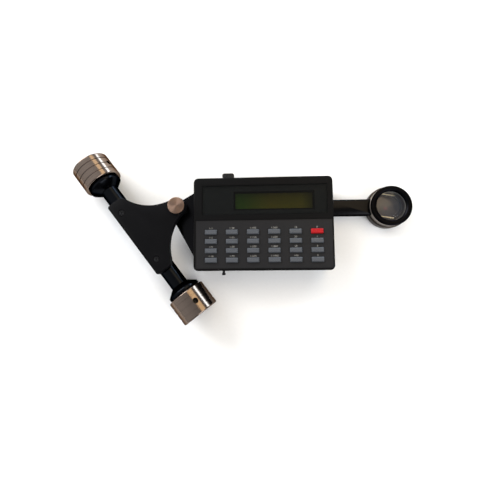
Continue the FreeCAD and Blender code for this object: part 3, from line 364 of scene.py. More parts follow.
# Upper shell. The second moulding of the same black plastic, with a rounded upper edge, a
# recess for the key panel, one for the window, and openings for the keys, knob, lever and jack.
CASE_EDGE = 1.2
CASE_SKIN = 3.0
PANEL_SINK = 1.8
PANEL_CORNER = 1.0
PANEL = (2.0, 2.2, CASE_LENGTH - 1.2, 54.5)
WINDOW = (9.3, 60.4, CASE_LENGTH - 6.1, CASE_WIDTH - 8.8)
WINDOW_CORNER = 0.8
WINDOW_THICK = 1.6
LCD = (44.5, 66.0, CASE_LENGTH - 20.5, CASE_WIDTH - 16.4)
KEY_FIRST = (18.95, 11.33)
KEY_LAST = (CASE_LENGTH - 17.825, 41.36)
KEY_SIZE = (12.9, 5.3)
KEY_CORNER = 0.8
KEY_GAP = 0.3
KEY_ROWS = 4
KEY_COLUMNS = 6
SWITCH_SPAN = (35.2, 42.8)
SWITCH_LEVELS = (27.4, 30.6)
BRAKE_SPAN = (29.8, 37.2)
BRAKE_LEVELS = (21.3, 24.7)
SLOT_REACH = 4.0
JACK_RADIUS = 4.02

key_places = {}
for row in range(KEY_ROWS):
    for column in range(KEY_COLUMNS):
        key_places[f"key_r{row + 1}c{column + 1}"] = (
            KEY_FIRST[0] + (KEY_LAST[0] - KEY_FIRST[0]) * column / (KEY_COLUMNS - 1),
            KEY_LAST[1] - (KEY_LAST[1] - KEY_FIRST[1]) * row / (KEY_ROWS - 1),
        )


def key_openings():
    """Tools that open the key holes."""
    return gathered(*[
        upright(
            rectangle(*around(x, y, *KEY_SIZE, KEY_GAP), KEY_CORNER + SLIP, 3),
            CASE_TOP - CASE_SKIN - OVERCUT, CASE_TOP + OVERCUT,
        )
        for x, y in key_places.values()
    ])


def sunk(low, top, bevel=0.2, past=0.1):
    """Heights and insets of a recess with a bevelled mouth."""
    return [(low, 0), (top - bevel, 0), (top + past, -bevel - past)]


def slotted(span, levels, wall):
    """A tool that opens a slot through the front or rear wall."""
    return stacked(
        rectangle(span[0], wall - SLOT_REACH, span[1], wall + SLOT_REACH), [(level, 0) for level in levels]
    )


jack_low, jack_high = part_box("adapter_socket")
jack_middle = (jack_low + jack_high) / 2
jack_place = ((jack_middle.x - case_low.x) / MM, CASE_WIDTH, jack_middle.z / MM)
upper = carved(
    stacked(
        case_outline,
        [(CASE_SPLIT, PARTING), (CASE_SPLIT + PARTING, 0)]
        + rounding(CASE_TOP - CASE_EDGE, CASE_TOP, CASE_EDGE, steps=6),
    ),
    upright(case_inside, CASE_SPLIT - OVERCUT, CASE_TOP - CASE_SKIN),
    upright(rectangle(*PANEL, PANEL_CORNER), CASE_TOP - PANEL_SINK, CASE_TOP + OVERCUT),
    stacked(rectangle(*WINDOW, WINDOW_CORNER), sunk(CASE_TOP - WINDOW_THICK, CASE_TOP)),
    upright(rectangle(*LCD), CASE_TOP - CASE_SKIN - OVERCUT, CASE_TOP + OVERCUT),
    key_openings(),
    slotted(SWITCH_SPAN, SWITCH_LEVELS, CASE_WIDTH),
    slotted(BRAKE_SPAN, BRAKE_LEVELS, 0),
    rod(JACK_RADIUS, -SLOT_REACH, SLOT_REACH, jack_place, axis=(0, 1, 0), steps=48),
)
show("upper_shell", upper, case_plastic, "main_unit", ["upper_case"])

# Key panel. A thin plate of dark grey plastic, moulded with the key openings and glued into
# its recess. Small marks are printed over the keys: scales and plain digits.
PANEL_THICK = 1.2
PANEL_BEVEL = 0.2
PANEL_TOP = CASE_TOP - PANEL_SINK + PANEL_THICK
MARKS = (
    "1:1", "1:20", "1:100", "1:500", "10", "0", "1:2", "1:25", "1:150", "1:600", "20", "1",
    "1:5", "1:50", "1:200", "1:800", "50", "2", "1:10", "1:75", "1:250", "1:1000", "100", "3",
)
MARK_SIZE = 2.6
MARK_RISE = 0.8
MARK_SPACING = 1.2
INK_THICK = 0.008
INK_LIFT = 0.012

panel_plastic = finish(
    "panel_plastic", (0.0135, 0.0132, 0.0142), 0.42, grain=2200, relief=0.25, Specular_IOR_Level=0.15
)
panel = stacked(
    rectangle(*PANEL, PANEL_CORNER),
    [(CASE_TOP - PANEL_SINK, SLIP), (PANEL_TOP - PANEL_BEVEL, SLIP), (PANEL_TOP, SLIP + PANEL_BEVEL)],
)
show("panel_plate", carved(panel, key_openings()), panel_plastic, "main_unit", ["key_panel"])

print_ink = finish("print_ink", (0.3, 0.29, 0.27), 0.6, relief=0.05)
marks = []
for text, (x, y) in zip(MARKS, key_places.values()):
    letter = bpy.data.curves.new("mark", "FONT")
    letter.body = text
    letter.size = MARK_SIZE * MM
    letter.align_x = "CENTER"
    letter.space_character = MARK_SPACING
    letter.extrude = INK_THICK * MM
    carrier = bpy.data.objects.new("mark", letter)
    carrier.location = at(x, y + KEY_SIZE[1] / 2 + MARK_RISE, PANEL_TOP + INK_LIFT)
    bpy.context.scene.collection.objects.link(carrier)
    bpy.context.view_layer.update()
    flat = bpy.data.meshes.new_from_object(carrier.evaluated_get(bpy.context.evaluated_depsgraph_get()))
    flat.transform(carrier.matrix_world)
    marks.append(flat)
    bpy.data.objects.remove(carrier)
show("key_marks", gathered(*marks), print_ink, "main_unit")

# Keys. Hard plastic caps with bevelled rims on a flange that keeps them under the upper shell.
# All are moulded blue grey but the red one at the rear right.
KEY_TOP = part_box("key_r1c1")[1].z / MM
KEY_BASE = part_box("key_r1c1")[0].z / MM
KEY_FLANGE = 0.7
KEY_FLANGE_THICK = 1.2
KEY_BEVEL = 0.9
FLANGE_STEP = 0.01
BEVEL_FOOT = (0.05, 0.1)
BEVEL_RIM = (0.12, 0.15)

key_grey = finish("key_grey", (0.06, 0.066, 0.077), 0.38, grain=1800, relief=0.12, shade=0.1)
key_red = finish(
    "key_red", (0.36, 0.003, 0.007), 0.42, grain=1800, relief=0.12, shade=0.08, Specular_IOR_Level=0.3
)
for label, (x, y) in key_places.items():
    red = label == "key_r1c6"
    mesh = stacked(
        rectangle(*around(x, y, *KEY_SIZE), KEY_CORNER, 4),
        [
            (KEY_BASE, -KEY_FLANGE), (KEY_BASE + KEY_FLANGE_THICK, -KEY_FLANGE),
            (KEY_BASE + KEY_FLANGE_THICK + FLANGE_STEP, 0), (KEY_TOP - KEY_BEVEL - BEVEL_FOOT[0], 0),
            (KEY_TOP - KEY_BEVEL + BEVEL_FOOT[1], BEVEL_FOOT[0]),
            (KEY_TOP - BEVEL_RIM[0], KEY_BEVEL - BEVEL_RIM[1]), (KEY_TOP, KEY_BEVEL),
        ],
    )
    show(
        label + "_cap", mesh, key_red if red else key_grey, label, [label],
        angle=20,
    )

# Display. A smoked acrylic window with a fine matt face and a slate print on its back is glued
# flush with the case. Under it a green character display, a glass with a black border on its
# card, is held down by a black steel frame.
WINDOW_BEVEL = 0.15
LCD_BORDER = 0.8
LCD_EDGE = 1.5
CARD_EDGE = 4.6
CELL_LENGTH = 3.62
CELL_WIDTH = 8.1
CARD_THICK = 1.6
LCD_LIP = 0.6
FRAME_RIM = 3.1
GLUE = 0.05
PRINT_FILM = 0.01
PRINT_INSET = 0.12
PRINT_GAP = 0.9
GLASS_SINK = 0.06
ACTIVE_SINK = 0.08
SHADED_END = 0.86

window_smoke = finish(
    "window_smoke", (0.003, 0.0034, 0.0034), 0.44, relief=0.0, shade=0.1, Alpha=0.45,
    Specular_IOR_Level=0.08,
)
window_back = CASE_TOP - WINDOW_THICK
window = stacked(
    rectangle(*WINDOW, WINDOW_CORNER),
    [
        (window_back + GLUE, SLIP), (CASE_TOP - WINDOW_BEVEL, SLIP),
        (CASE_TOP, SLIP + WINDOW_BEVEL),
    ],
)
show("smoked_window", window, window_smoke, "main_unit", ["display_window"])
back_print = carved(
    upright(
        rectangle(*WINDOW, WINDOW_CORNER),
        window_back + PRINT_FILM, window_back + GLUE - PRINT_FILM, PRINT_INSET,
    ),
    upright(rectangle(*LCD), window_back - OVERCUT, CASE_TOP, -PRINT_GAP),
)
show("window_print", back_print, finish("print_slate", (0.0125, 0.0175, 0.0185), 0.6), "main_unit")
card_low, glass_top = (corner.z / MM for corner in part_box("lcd_module"))
card_top = card_low + CARD_THICK
glass_black = finish("glass_black", (0.004, 0.004, 0.004), 0.4, relief=0.0, Specular_IOR_Level=0.2)
display = gathered(
    upright(rectangle(*LCD), card_low, card_top, -CARD_EDGE),
    upright(rectangle(*LCD), card_top, glass_top - GLASS_SINK, -LCD_EDGE),
)
show("display_glass", display, glass_black, "main_unit", ["lcd_module"])


def vector_math(shader, operation, source, other=None):
    """A vector node that works on a source and, where given, a fixed vector."""
    made = shader.nodes.new("ShaderNodeVectorMath")
    made.operation = operation
    shader.links.new(source, made.inputs[0])
    if other is not None:
        made.inputs[1].default_value = other
    return made


lcd_green = bpy.data.materials.new("lcd_green")
lcd_green.use_nodes = True
shader = lcd_green.node_tree
surface = shader.nodes["Principled BSDF"]
surface.inputs["Specular IOR Level"].default_value = 0.3
surface.inputs["Roughness"].default_value = 0.35
place = shader.nodes.new("ShaderNodeTexCoord").outputs["Object"]
split = shader.nodes.new("ShaderNodeSeparateXYZ")
shader.links.new(place, split.inputs["Vector"])
lcd_corner = at(LCD[0], LCD[1], 0)
lcd_far_corner = at(LCD[2], LCD[3], 0)
along = node(shader, "ShaderNodeMapRange", From_Min=lcd_corner.x, From_Max=lcd_far_corner.x)
shader.links.new(split.outputs["X"], along.inputs["Value"])
# Painted shade: the display's colour falls from 1.15 times at its front edge to 0.6 times at its rear
# edge.
across = node(
    shader, "ShaderNodeMapRange", From_Min=lcd_corner.y, From_Max=lcd_far_corner.y, To_Min=1.15, To_Max=0.6
)
shader.links.new(split.outputs["Y"], across.inputs["Value"])
# The tint runs from green at the left to olive; from SHADED_END on it is painted darker to the right end,
# as painted shade.
tint_and_end_shade = ramp(shader, along.outputs["Result"], (0.072, 0.16, 0.011), (0.19, 0.172, 0.012), 0.1, 0.45)
stops = tint_and_end_shade.node.color_ramp.elements
stops.new(SHADED_END)
stops.new(1.0).color = (0.055, 0.06, 0.01, 1)
cells = node(
    shader, "ShaderNodeTexBrick", Scale=1 / MM, Mortar_Size=0.22, Bias=0.0, Brick_Width=CELL_LENGTH,
    Row_Height=CELL_WIDTH, Color1=(0.9, 0.9, 0.9, 1), Color2=(0.94, 0.94, 0.94, 1), Mortar=(1, 1, 1, 1),
)
cells.offset = 0.0
shader.links.new(place, cells.inputs["Vector"])
layered = vector_math(shader, "MULTIPLY", tint_and_end_shade)
shader.links.new(cells.outputs["Color"], layered.inputs[1])
painted_shade_colour = vector_math(shader, "SCALE", layered.outputs["Vector"])
shader.links.new(across.outputs["Result"], painted_shade_colour.inputs["Scale"])
shader.links.new(painted_shade_colour.outputs["Vector"], surface.inputs["Base Color"])
active = upright(rectangle(*LCD), glass_top - ACTIVE_SINK, glass_top, LCD_BORDER)
show("display_area", active, lcd_green, "main_unit")

frame_steel = finish("frame_steel", (0.006, 0.006, 0.006), 0.45, relief=0.1, Metallic=0.2)
retainer = carved(
    stacked(
        rectangle(*LCD),
        [
            (card_top, -FRAME_RIM), (glass_top + LCD_LIP - SLIP, -FRAME_RIM),
            (glass_top + LCD_LIP, SLIP - FRAME_RIM),
        ],
    ),
    upright(rectangle(*LCD), card_top - OVERCUT, glass_top, -LCD_EDGE - SLIP),
    upright(rectangle(*LCD), card_top, glass_top + OVERCUT),
)
show("display_frame", retainer, frame_steel, "main_unit", ["lcd_frame"])

# Inside the case. An etched circuit board on the tray's posts carries a moulded rubber mat and
# the power switch's body. Four sleeved cells lie side by side on the tray's floor.


def dress(name, material):
    """Give a CAD node its material."""
    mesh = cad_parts[name].data
    mesh.materials.clear()
    mesh.materials.append(material)


dress("main_board", finish("board_green", (0.012, 0.08, 0.03), 0.4))
dress("key_mat", finish("mat_rubber", (0.22, 0.22, 0.23), 0.7))
dress("battery_pack", finish("cell_sleeve", (0.08, 0.1, 0.22), 0.35, Metallic=0.3))
dress("switch_body", finish("switch_plastic", (0.012, 0.012, 0.012), 0.5))

# Power switch knob. A small moulded slide with rounded corners and four grip grooves, whose
# stem passes through the rear wall to the switch.
KNOB_ROUND = 2.2
GRIP_PITCH = 1.7
GRIP_SIZE = (0.7, 8.0)
GRIP_DEPTH = 0.3
KNOB_BREAK = 0.3
KNOB_CROWN = 0.6
STEM_SIZE = (4.0, 3.6)
STEM_SHIFT = 0.2
small_plastic = finish(
    "small_plastic", (0.007, 0.007, 0.0075), 0.4, grain=2000, relief=0.25, Specular_IOR_Level=0.3
)
knob_low, knob_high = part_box("power_switch_knob")
knob_left = (knob_low.x - case_low.x) / MM
knob_right = (knob_high.x - case_low.x) / MM
knob_rear = (knob_high.y - case_low.y) / MM
knob_middle = (knob_left + knob_right) / 2
knob_base = knob_low.z / MM
knob_top = knob_high.z / MM
slide = carved(
    stacked(
        rectangle(knob_left, CASE_WIDTH + KEY_GAP, knob_right, knob_rear, KNOB_ROUND),
        [(knob_base, KNOB_BREAK), (knob_base + KNOB_BREAK, 0)]
        + rounding(knob_top - KNOB_CROWN, knob_top, KNOB_CROWN),
    ),
    *[
        upright(
            rectangle(*around(knob_middle + shift * GRIP_PITCH, knob_rear, *GRIP_SIZE)),
            knob_top - GRIP_DEPTH, knob_top + OVERCUT,
        )
        for shift in (-1.5, -0.5, 0.5, 1.5)
    ],
)
stem = upright(
    rectangle(*around(knob_middle, CASE_WIDTH + STEM_SHIFT, *STEM_SIZE)),
    SWITCH_LEVELS[0] + KEY_GAP, SWITCH_LEVELS[1] - KEY_GAP,
)
switch = gathered(slide, stem)
show("switch_slide", switch, small_plastic, "power_switch", ["power_switch_knob"])

# Brake lever. A headed pin, turned from black acetal and pressed into a slider that runs
# behind the front wall.
BRAKE_X = 31.5
BRAKE_Z = 23.0
BRAKE_PIN = 1.4
BRAKE_HEAD = 2.0
BRAKE_REACH = 4.8
HEAD_LENGTH = 2.4
HEAD_BREAK = 0.3
HEAD_BEVEL = 0.5
SLIDER_LENGTH = 14.0
SLIDER_HEIGHT = 7.0
SLIDER_THICK = 1.4
slider_face = CASE_WALL + KEY_GAP
pin_root = slider_face + SLIDER_THICK / 2
head_end = pin_root + BRAKE_REACH
head_foot = head_end - HEAD_LENGTH
lever = lathe(
    [
        (0, 0), (BRAKE_PIN, 0), (BRAKE_PIN, head_foot), (BRAKE_HEAD - HEAD_BREAK, head_foot),
        (BRAKE_HEAD, head_foot + HEAD_BREAK), (BRAKE_HEAD, head_end - HEAD_BEVEL),
        (BRAKE_HEAD - HEAD_BEVEL, head_end), (0, head_end),
    ],
    (BRAKE_X, pin_root, BRAKE_Z),
    (0, -1, 0),
    steps=40,
)
runner = upright(
    rectangle(*around(BRAKE_X, pin_root, SLIDER_LENGTH, SLIDER_THICK)),
    BRAKE_Z - SLIDER_HEIGHT / 2, BRAKE_Z + SLIDER_HEIGHT / 2,
)
show("brake_pin", gathered(lever, runner), small_plastic, "brake_lever", ["brake_lever"])

# Adapter socket. A barrel moulded in black plastic with a bevelled mouth for the plug. It is
# pressed into the rear wall, flush with the wall's face.
JACK_SHELL = 4.0
JACK_BORE = 1.8
JACK_LENGTH = 15.0
JACK_DEPTH = 12.0
JACK_BEVEL = 0.4
socket = lathe(
    [
        (JACK_BORE + JACK_BEVEL, 0), (JACK_SHELL, 0), (JACK_SHELL, JACK_LENGTH), (0, JACK_LENGTH),
        (0, JACK_DEPTH), (JACK_BORE, JACK_DEPTH), (JACK_BORE, JACK_BEVEL),
    ],
    jack_place,
    (0, -1, 0),
    steps=48,
)
show("power_jack", socket, small_plastic, "main_unit", ["adapter_socket"])

# Tracer arm. A bar of black anodised aluminium, bevelled along its upper edges. A thin tongue
# at its root is screwed to the tray, and its far end is bored as an eye for the magnifier.
ARM_LOW = 4.0
ARM_TOP = 14.0
ARM_BEVEL = 1.2
ARM_BREAK = 0.3
ARM_SOFT = 0.1
ARM_TONGUE = 22.0
TONGUE_LAP = 0.6
EYE_RADIUS = 23.5
EYE_LOW = 1.0
EYE_TOP = 9.0
EYE_BREAK = 0.4
EYE_EDGE = 0.5
EYE_SOFT = 0.15
SPIGOT = 20.52
BARREL_ROOM = 22.02
lens_low, lens_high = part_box("lens_ring")
LENS_X = ((lens_low.x + lens_high.x) / 2 - case_low.x) / MM
lens_foot = (LENS_X, ARM_Y, 0)
ALONG_X = Matrix(((0, 0, 1, 0), (1, 0, 0, 0), (0, 1, 0, 0), (0, 0, 0, 1)))

anodised = finish(
    "anodised", (0.0095, 0.0095, 0.0105), 0.26, grain=1700, relief=0.15, Metallic=1.0,
    Specular_Tint=(0.17, 0.17, 0.19, 1),
)
rear_half = [
    (ARM_WIDTH / 2 - ARM_BREAK, ARM_LOW), (ARM_WIDTH / 2, ARM_LOW + ARM_BREAK),
    (ARM_WIDTH / 2, ARM_TOP - ARM_BEVEL),
    (ARM_WIDTH / 2 - ARM_SOFT, ARM_TOP - ARM_BEVEL + 2 * ARM_SOFT),
    (ARM_WIDTH / 2 - ARM_BEVEL + ARM_SOFT, ARM_TOP - ARM_SOFT),
    (ARM_WIDTH / 2 - ARM_BEVEL - ARM_SOFT, ARM_TOP),
]
section = [(ARM_Y - y, z) for y, z in reversed(rear_half)]
section = section[-1:] + [(ARM_Y + y, z) for y, z in rear_half] + section[:-1]
bar = carved(
    upright(section, CASE_LENGTH + SLIP, LENS_X, home=case_home @ ALONG_X),
    lathe(
        [
            (0, 0), (SPIGOT, 0), (SPIGOT, EYE_TOP), (BARREL_ROOM, EYE_TOP),
            (BARREL_ROOM, ARM_TOP + OVERCUT), (0, ARM_TOP + OVERCUT),
        ],
        lens_foot,
        steps=128,
    ),
)
tongue = carved(
    upright(
        rectangle(CASE_LENGTH - ARM_TONGUE, arm_front, CASE_LENGTH + TONGUE_LAP, arm_rear),
        floor_top, ARM_TOP,
    ),
    *[
        rod(SCREW_SHANK, floor_top - OVERCUT, ARM_TOP + OVERCUT, (x, ARM_Y, 0), steps=24)
        for x in ARM_SCREWS
    ],
)
eye = lathe(
    [
        (SPIGOT, EYE_LOW), (EYE_RADIUS - EYE_BREAK, EYE_LOW), (EYE_RADIUS, EYE_LOW + EYE_BREAK),
        (EYE_RADIUS, EYE_TOP - EYE_EDGE), (EYE_RADIUS - EYE_SOFT, EYE_TOP - EYE_SOFT),
        (EYE_RADIUS - EYE_EDGE, EYE_TOP), (SPIGOT, EYE_TOP),
    ],
    lens_foot,
    steps=128,
)
show("tracer_bar", gathered(bar, tongue), anodised, "main_unit", ["tracer_arm"])
eye_bronze = finish("eye_bronze", (0.04, 0.034, 0.03), 0.3, grain=1500, relief=0.1, Metallic=0.85)
show("tracer_eye", eye, eye_bronze, "main_unit")

# Magnifier barrel. Turned aluminium with a satin finish and a fine thread mark below the ring.
# Low inside sits a milled plate, and its two straight brass edges frame the tracing point.
BARREL_TOP = 17.5
BARREL_RADIUS = 22.0
LENS_SEAT = 13.0
BARREL_BORE = 17.0
BARREL_PLAY = 0.02
BARREL_WALL = 0.2
BARREL_BREAK = 0.3
BARREL_EDGE = 0.4
THREAD_MARK = 1.2
MARK_WIDTH = 0.3
MARK_DEPTH = 0.35
MARK_SLOPE = 0.2
LENS_ROOM = 18.2
GATE_LOW = 2.5
GATE_TOP = 5.1
GATE_WIDTH = 24.6
GATE_RADIUS = 15.5
GATE_TURN = -9.6
GATE_BEVEL = 1.25
GATE_SHIFT = 2.6
GATE_SEAT = 0.2
STRIP_SINK = 0.2
STRIP_RISE = 0.4
STRIP_BREAK = 0.15
LINE_DEPTH = 0.00004  # metres, as the shader takes it


def turned_finish(name, colour, roughness, foot, axis, pitch=0.35, relief=0.3, shade=0.15, **sockets):
    """A turned surface: fine tool lines run round the axis through a point of the frame."""
    material, place = smeared(name, roughness, **sockets)
    shader = material.node_tree
    offset = vector_math(shader, "SUBTRACT", place, foot)
    height = vector_math(shader, "DOT_PRODUCT", offset.outputs["Vector"], axis)
    around_axis = vector_math(shader, "CROSS_PRODUCT", offset.outputs["Vector"], axis)
    radius = vector_math(shader, "LENGTH", around_axis.outputs["Vector"])
    reach = shader.nodes.new("ShaderNodeMath")
    reach.operation = "ADD"
    shader.links.new(height.outputs["Value"], reach.inputs[0])
    shader.links.new(radius.outputs["Value"], reach.inputs[1])
    lines = node(shader, "ShaderNodeTexNoise", Scale=1 / (pitch * MM), Detail=3.0, Roughness=0.6)
    lines.noise_dimensions = "1D"
    shader.links.new(reach.outputs["Value"], lines.inputs["W"])
    patterned(shader, lines.outputs["Fac"], colour, shade, relief, LINE_DEPTH)
    return material


lens_axis = at(*lens_foot)
barrel_satin = turned_finish(
    "barrel_satin", (0.3, 0.265, 0.235), 0.34, lens_axis, UP, pitch=0.3, Metallic=1.0
)
mark_top = BARREL_TOP - THREAD_MARK
mark_low = mark_top - MARK_WIDTH - 2 * MARK_SLOPE
barrel = lathe(
    [
        (LENS_ROOM - BARREL_WALL, 0), (SPIGOT - BARREL_PLAY, 0), (SPIGOT - BARREL_PLAY, EYE_TOP),
        (BARREL_RADIUS - BARREL_BREAK, EYE_TOP), (BARREL_RADIUS, EYE_TOP + BARREL_BREAK),
        (BARREL_RADIUS, mark_low), (BARREL_RADIUS - MARK_DEPTH, mark_low + MARK_SLOPE),
        (BARREL_RADIUS - MARK_DEPTH, mark_top - MARK_SLOPE), (BARREL_RADIUS, mark_top),
        (BARREL_RADIUS, BARREL_TOP - BARREL_EDGE), (BARREL_RADIUS - BARREL_EDGE, BARREL_TOP),
        (LENS_ROOM, BARREL_TOP), (LENS_ROOM, LENS_SEAT), (BARREL_BORE, LENS_SEAT),
        (BARREL_BORE, GATE_LOW), (LENS_ROOM - BARREL_WALL, GATE_LOW),
    ],
    lens_foot,
    steps=144,
)
show("magnifier_barrel", barrel, barrel_satin, "main_unit", ["lens_barrel"])

gate_satin = finish("gate_satin", (0.07, 0.063, 0.058), 0.35, grain=1200, relief=0.1, Metallic=1.0)
gate_brass = finish("gate_brass", (0.95, 0.75, 0.48), 0.35, grain=1200, relief=0.05, Metallic=0.1)
half_angle = math.asin(GATE_WIDTH / 2 / GATE_RADIUS)
straight = GATE_RADIUS * math.cos(half_angle)
gate_home = case_home @ Matrix.Translation(Vector(lens_foot) * MM)
gate_home = gate_home @ Matrix.Rotation(math.radians(GATE_TURN), 4, "Z")
gate_home = gate_home @ Matrix.Translation((0, GATE_SHIFT * MM, 0))
opening = [
    point
    for side in (0, math.pi)
    for point in arc((0, 0), GATE_RADIUS, side - half_angle, side + half_angle, 24)
]
gate = carved(
    rod(BARREL_BORE + GATE_SEAT, GATE_LOW, GATE_TOP, lens_foot),
    upright(opening, GATE_LOW - OVERCUT, GATE_TOP + OVERCUT, home=gate_home),
)
show("gate_plate", gate, gate_satin, "main_unit")
strips = []
for side in (-1, 1):
    edge = side * GATE_WIDTH / 2
    back_edge = edge + side * GATE_BEVEL
    strips.append(stacked(
        rectangle(-straight, min(edge, back_edge), straight, max(edge, back_edge)),
        [
            (GATE_TOP - STRIP_SINK, 0), (GATE_TOP + STRIP_RISE - STRIP_BREAK, 0),
            (GATE_TOP + STRIP_RISE, STRIP_BREAK),
        ],
        gate_home,
    ))
show("gate_edges", gathered(*strips), gate_brass, "main_unit")

# Magnifying glass. A flat glass with a domed upper face and a ground edge, clamped on the
# barrel's seat by a black anodised ring with a bevelled mouth. A light grey film on the glass's rim
# shows the ground edge and is also a painted highlight: the shine of that edge in the ring's mouth.
LENS_RADIUS = 18.1
LENS_EDGE = 1.6
LENS_CROWN = 4.2
GROUND_SHINE_INNER = 16.1
GROUND_SHINE_OUTER = 17.6
RING_BORE = 16.3
RING_RADIUS = 22.1
RING_HEIGHT = 3.5
RING_SLOPE = 1.3
RING_EDGE = 0.6
RING_SOFT = 0.18
MOUTH_SOFT = 0.15
MOUTH_DROP = 0.2
DOME_STEPS = 12
GROUND_SHINE_LIFT = 0.02
GROUND_SHINE_FILM = 0.03
lens_clear = finish(
    "lens_clear", (0.2, 0.24, 0.3), 0.035, relief=0.0, shade=0.02, grime=0.3, Alpha=0.06,
    Specular_IOR_Level=0.8,
)
bulge = LENS_CROWN - LENS_EDGE
sphere = (LENS_RADIUS ** 2 + bulge ** 2) / (2 * bulge)


def crown(reach):
    """The height of the domed face at a distance from the glass's middle."""
    return LENS_SEAT + LENS_CROWN - sphere + math.sqrt(sphere ** 2 - reach ** 2)


reaches = [LENS_RADIUS * (1 - step / DOME_STEPS) for step in range(DOME_STEPS + 1)]
dome = [(reach, crown(reach)) for reach in reaches]
lens = lathe([(0, LENS_SEAT), (LENS_RADIUS, LENS_SEAT)] + dome, lens_foot)
show("magnifying_glass", lens, lens_clear, "main_unit", ["lens_glass"])
# Partly painted highlight: this light grey film marks the ground edge and paints in its shine.
inner_level = crown(GROUND_SHINE_INNER) + GROUND_SHINE_LIFT
outer_level = crown(GROUND_SHINE_OUTER) + GROUND_SHINE_LIFT
ground_edge_and_shine = lathe(
    [
        (GROUND_SHINE_INNER, inner_level), (GROUND_SHINE_OUTER, outer_level),
        (GROUND_SHINE_OUTER, outer_level + GROUND_SHINE_FILM), (GROUND_SHINE_INNER, inner_level + GROUND_SHINE_FILM),
    ],
    lens_foot,
)
show("glass_ground_edge_and_shine", ground_edge_and_shine, finish("ground_glass_and_shine", (0.2, 0.2, 0.195), 0.6), "main_unit")

ring_black = turned_finish(
    "ring_black", (0.0045, 0.0045, 0.0055), 0.32, lens_axis, UP, pitch=0.5, Metallic=1.0,
    Specular_Tint=(0.15, 0.16, 0.2, 1),
)
ring = lathe(
    [
        (RING_BORE, 0), (RING_RADIUS, 0), (RING_RADIUS, RING_HEIGHT - RING_EDGE),
        (RING_RADIUS - RING_SOFT, RING_HEIGHT - RING_SOFT), (RING_RADIUS - RING_EDGE, RING_HEIGHT),
        (RING_BORE + RING_SLOPE + MOUTH_SOFT, RING_HEIGHT),
        (RING_BORE + RING_SLOPE - MOUTH_SOFT, RING_HEIGHT - MOUTH_DROP),
        (RING_BORE, RING_HEIGHT - RING_SLOPE),
    ],
    (LENS_X, ARM_Y, BARREL_TOP),
    steps=144,
)
show("clamp_ring", ring, ring_black, "main_unit", ["lens_ring"])

# Tracing plate. A clear plate at the foot of the barrel, smoked a little, with a fine red
# circle printed round the tracing point and a dot at its centre. Its brown, almost opaque colour
# is painted shade: it stands for the shaded paper seen under the magnifier.
TRACE_LOW = 0.5
TRACE_TOP = 2.5
TRACE_RADIUS = 17.9
TRACE_BREAK = 0.2
CIRCLE = (1.3, 1.65)
DOT_RADIUS = 0.25
PRINT_THICK = 0.01
# Painted shade: brown and almost opaque, for the shaded paper under the magnifier.
plate_clear = finish("plate_clear", (0.064, 0.044, 0.031), 0.12, relief=0.0, shade=0.06, Alpha=0.985)
foot_plate = lathe(
    [
        (0, TRACE_LOW), (TRACE_RADIUS - TRACE_BREAK, TRACE_LOW), (TRACE_RADIUS, TRACE_LOW + TRACE_BREAK),
        (TRACE_RADIUS, TRACE_TOP), (0, TRACE_TOP),
    ],
    lens_foot,
)
show("foot_plate", foot_plate, plate_clear, "main_unit", ["tracing_plate"])
mark_red = finish("mark_red", (0.35, 0.03, 0.03), 0.5, relief=0.0)
mark_foot = (LENS_X, ARM_Y, TRACE_TOP + PRINT_THICK)
circle = [(CIRCLE[0], 0), (CIRCLE[1], 0), (CIRCLE[1], PRINT_THICK), (CIRCLE[0], PRINT_THICK)]
mark = gathered(
    lathe(circle, mark_foot, steps=48),
    rod(DOT_RADIUS, 0, PRINT_THICK, mark_foot, steps=24),
)
show("tracing_mark", mark, mark_red, "main_unit")

# Measuring wheel. Wheel and journals are ground in one from steel and run in two milled
# aluminium cheeks. A slotted disc on the axle passes through the optical sensor.
WHEEL_Z = 10.0
wheel_axis = at(WHEEL_X, ARM_Y, WHEEL_Z)
ground_steel = turned_finish(
    "ground_steel", (0.5, 0.5, 0.5), 0.26, wheel_axis, (1, 0, 0), pitch=0.2, Metallic=1.0
)
dress("measuring_wheel", ground_steel)
dress("wheel_yoke", finish("milled_aluminium", (0.55, 0.55, 0.56), 0.35, Metallic=1.0))
dress("encoder_disc", finish("disc_steel", (0.3, 0.3, 0.3), 0.3, Metallic=1.0))
dress("encoder_sensor", finish("sensor_plastic", (0.012, 0.012, 0.012), 0.5))

# Wing bracket. A plate of black anodised aluminium, screwed to the case's left wall, with a
# round nose under the carriage's pivot. Blackened socket screws hold it and the arm, close the
# case and lock the rollers.
WING_LOW = 16.0
WING_TOP = 24.0
WING_REAR = 88.4
WING_FRONT = 12.5
WING_HIP = -14.3
WING_NOSE = 10.0
WING_HEEL = (-27.6, 62.5)
WING_KNEE = (-4.1, 20.0)
WING_BREAK = 0.4
WING_EDGE = 0.5
WING_SOFT = 0.15
PIN_HOLE = 5.02
pivot_low, pivot_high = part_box("pivot_knob")
pivot_middle = (pivot_low + pivot_high) / 2
PIVOT_X = (pivot_middle.x - case_low.x) / MM
wing_nose = arc((PIVOT_X, ARM_Y), WING_NOSE, math.pi / 2, math.pi, 12)
wing_tip = [(0, WING_REAR), (WING_HIP, ARM_Y + WING_NOSE)]
wing = carved(
    stacked(
        wing_tip + wing_nose + [WING_HEEL, WING_KNEE, (0, WING_FRONT)],
        [
            (WING_LOW, WING_BREAK), (WING_LOW + WING_BREAK, 0), (WING_TOP - WING_EDGE, 0),
            (WING_TOP - WING_SOFT, WING_SOFT), (WING_TOP, WING_EDGE),
        ],
    ),
    rod(PIN_HOLE, WING_LOW - OVERCUT, WING_TOP + OVERCUT, (PIVOT_X, ARM_Y, 0), steps=48),
)
show("wing_plate", wing, anodised, "main_unit", ["wing_bracket"])
black_steel = finish("black_steel", (0.009, 0.009, 0.009), 0.3, grain=1500, relief=0.1, Metallic=0.3)
for name in ("case_screws", "frame_screws", "set_screws"):
    dress(name, black_steel)

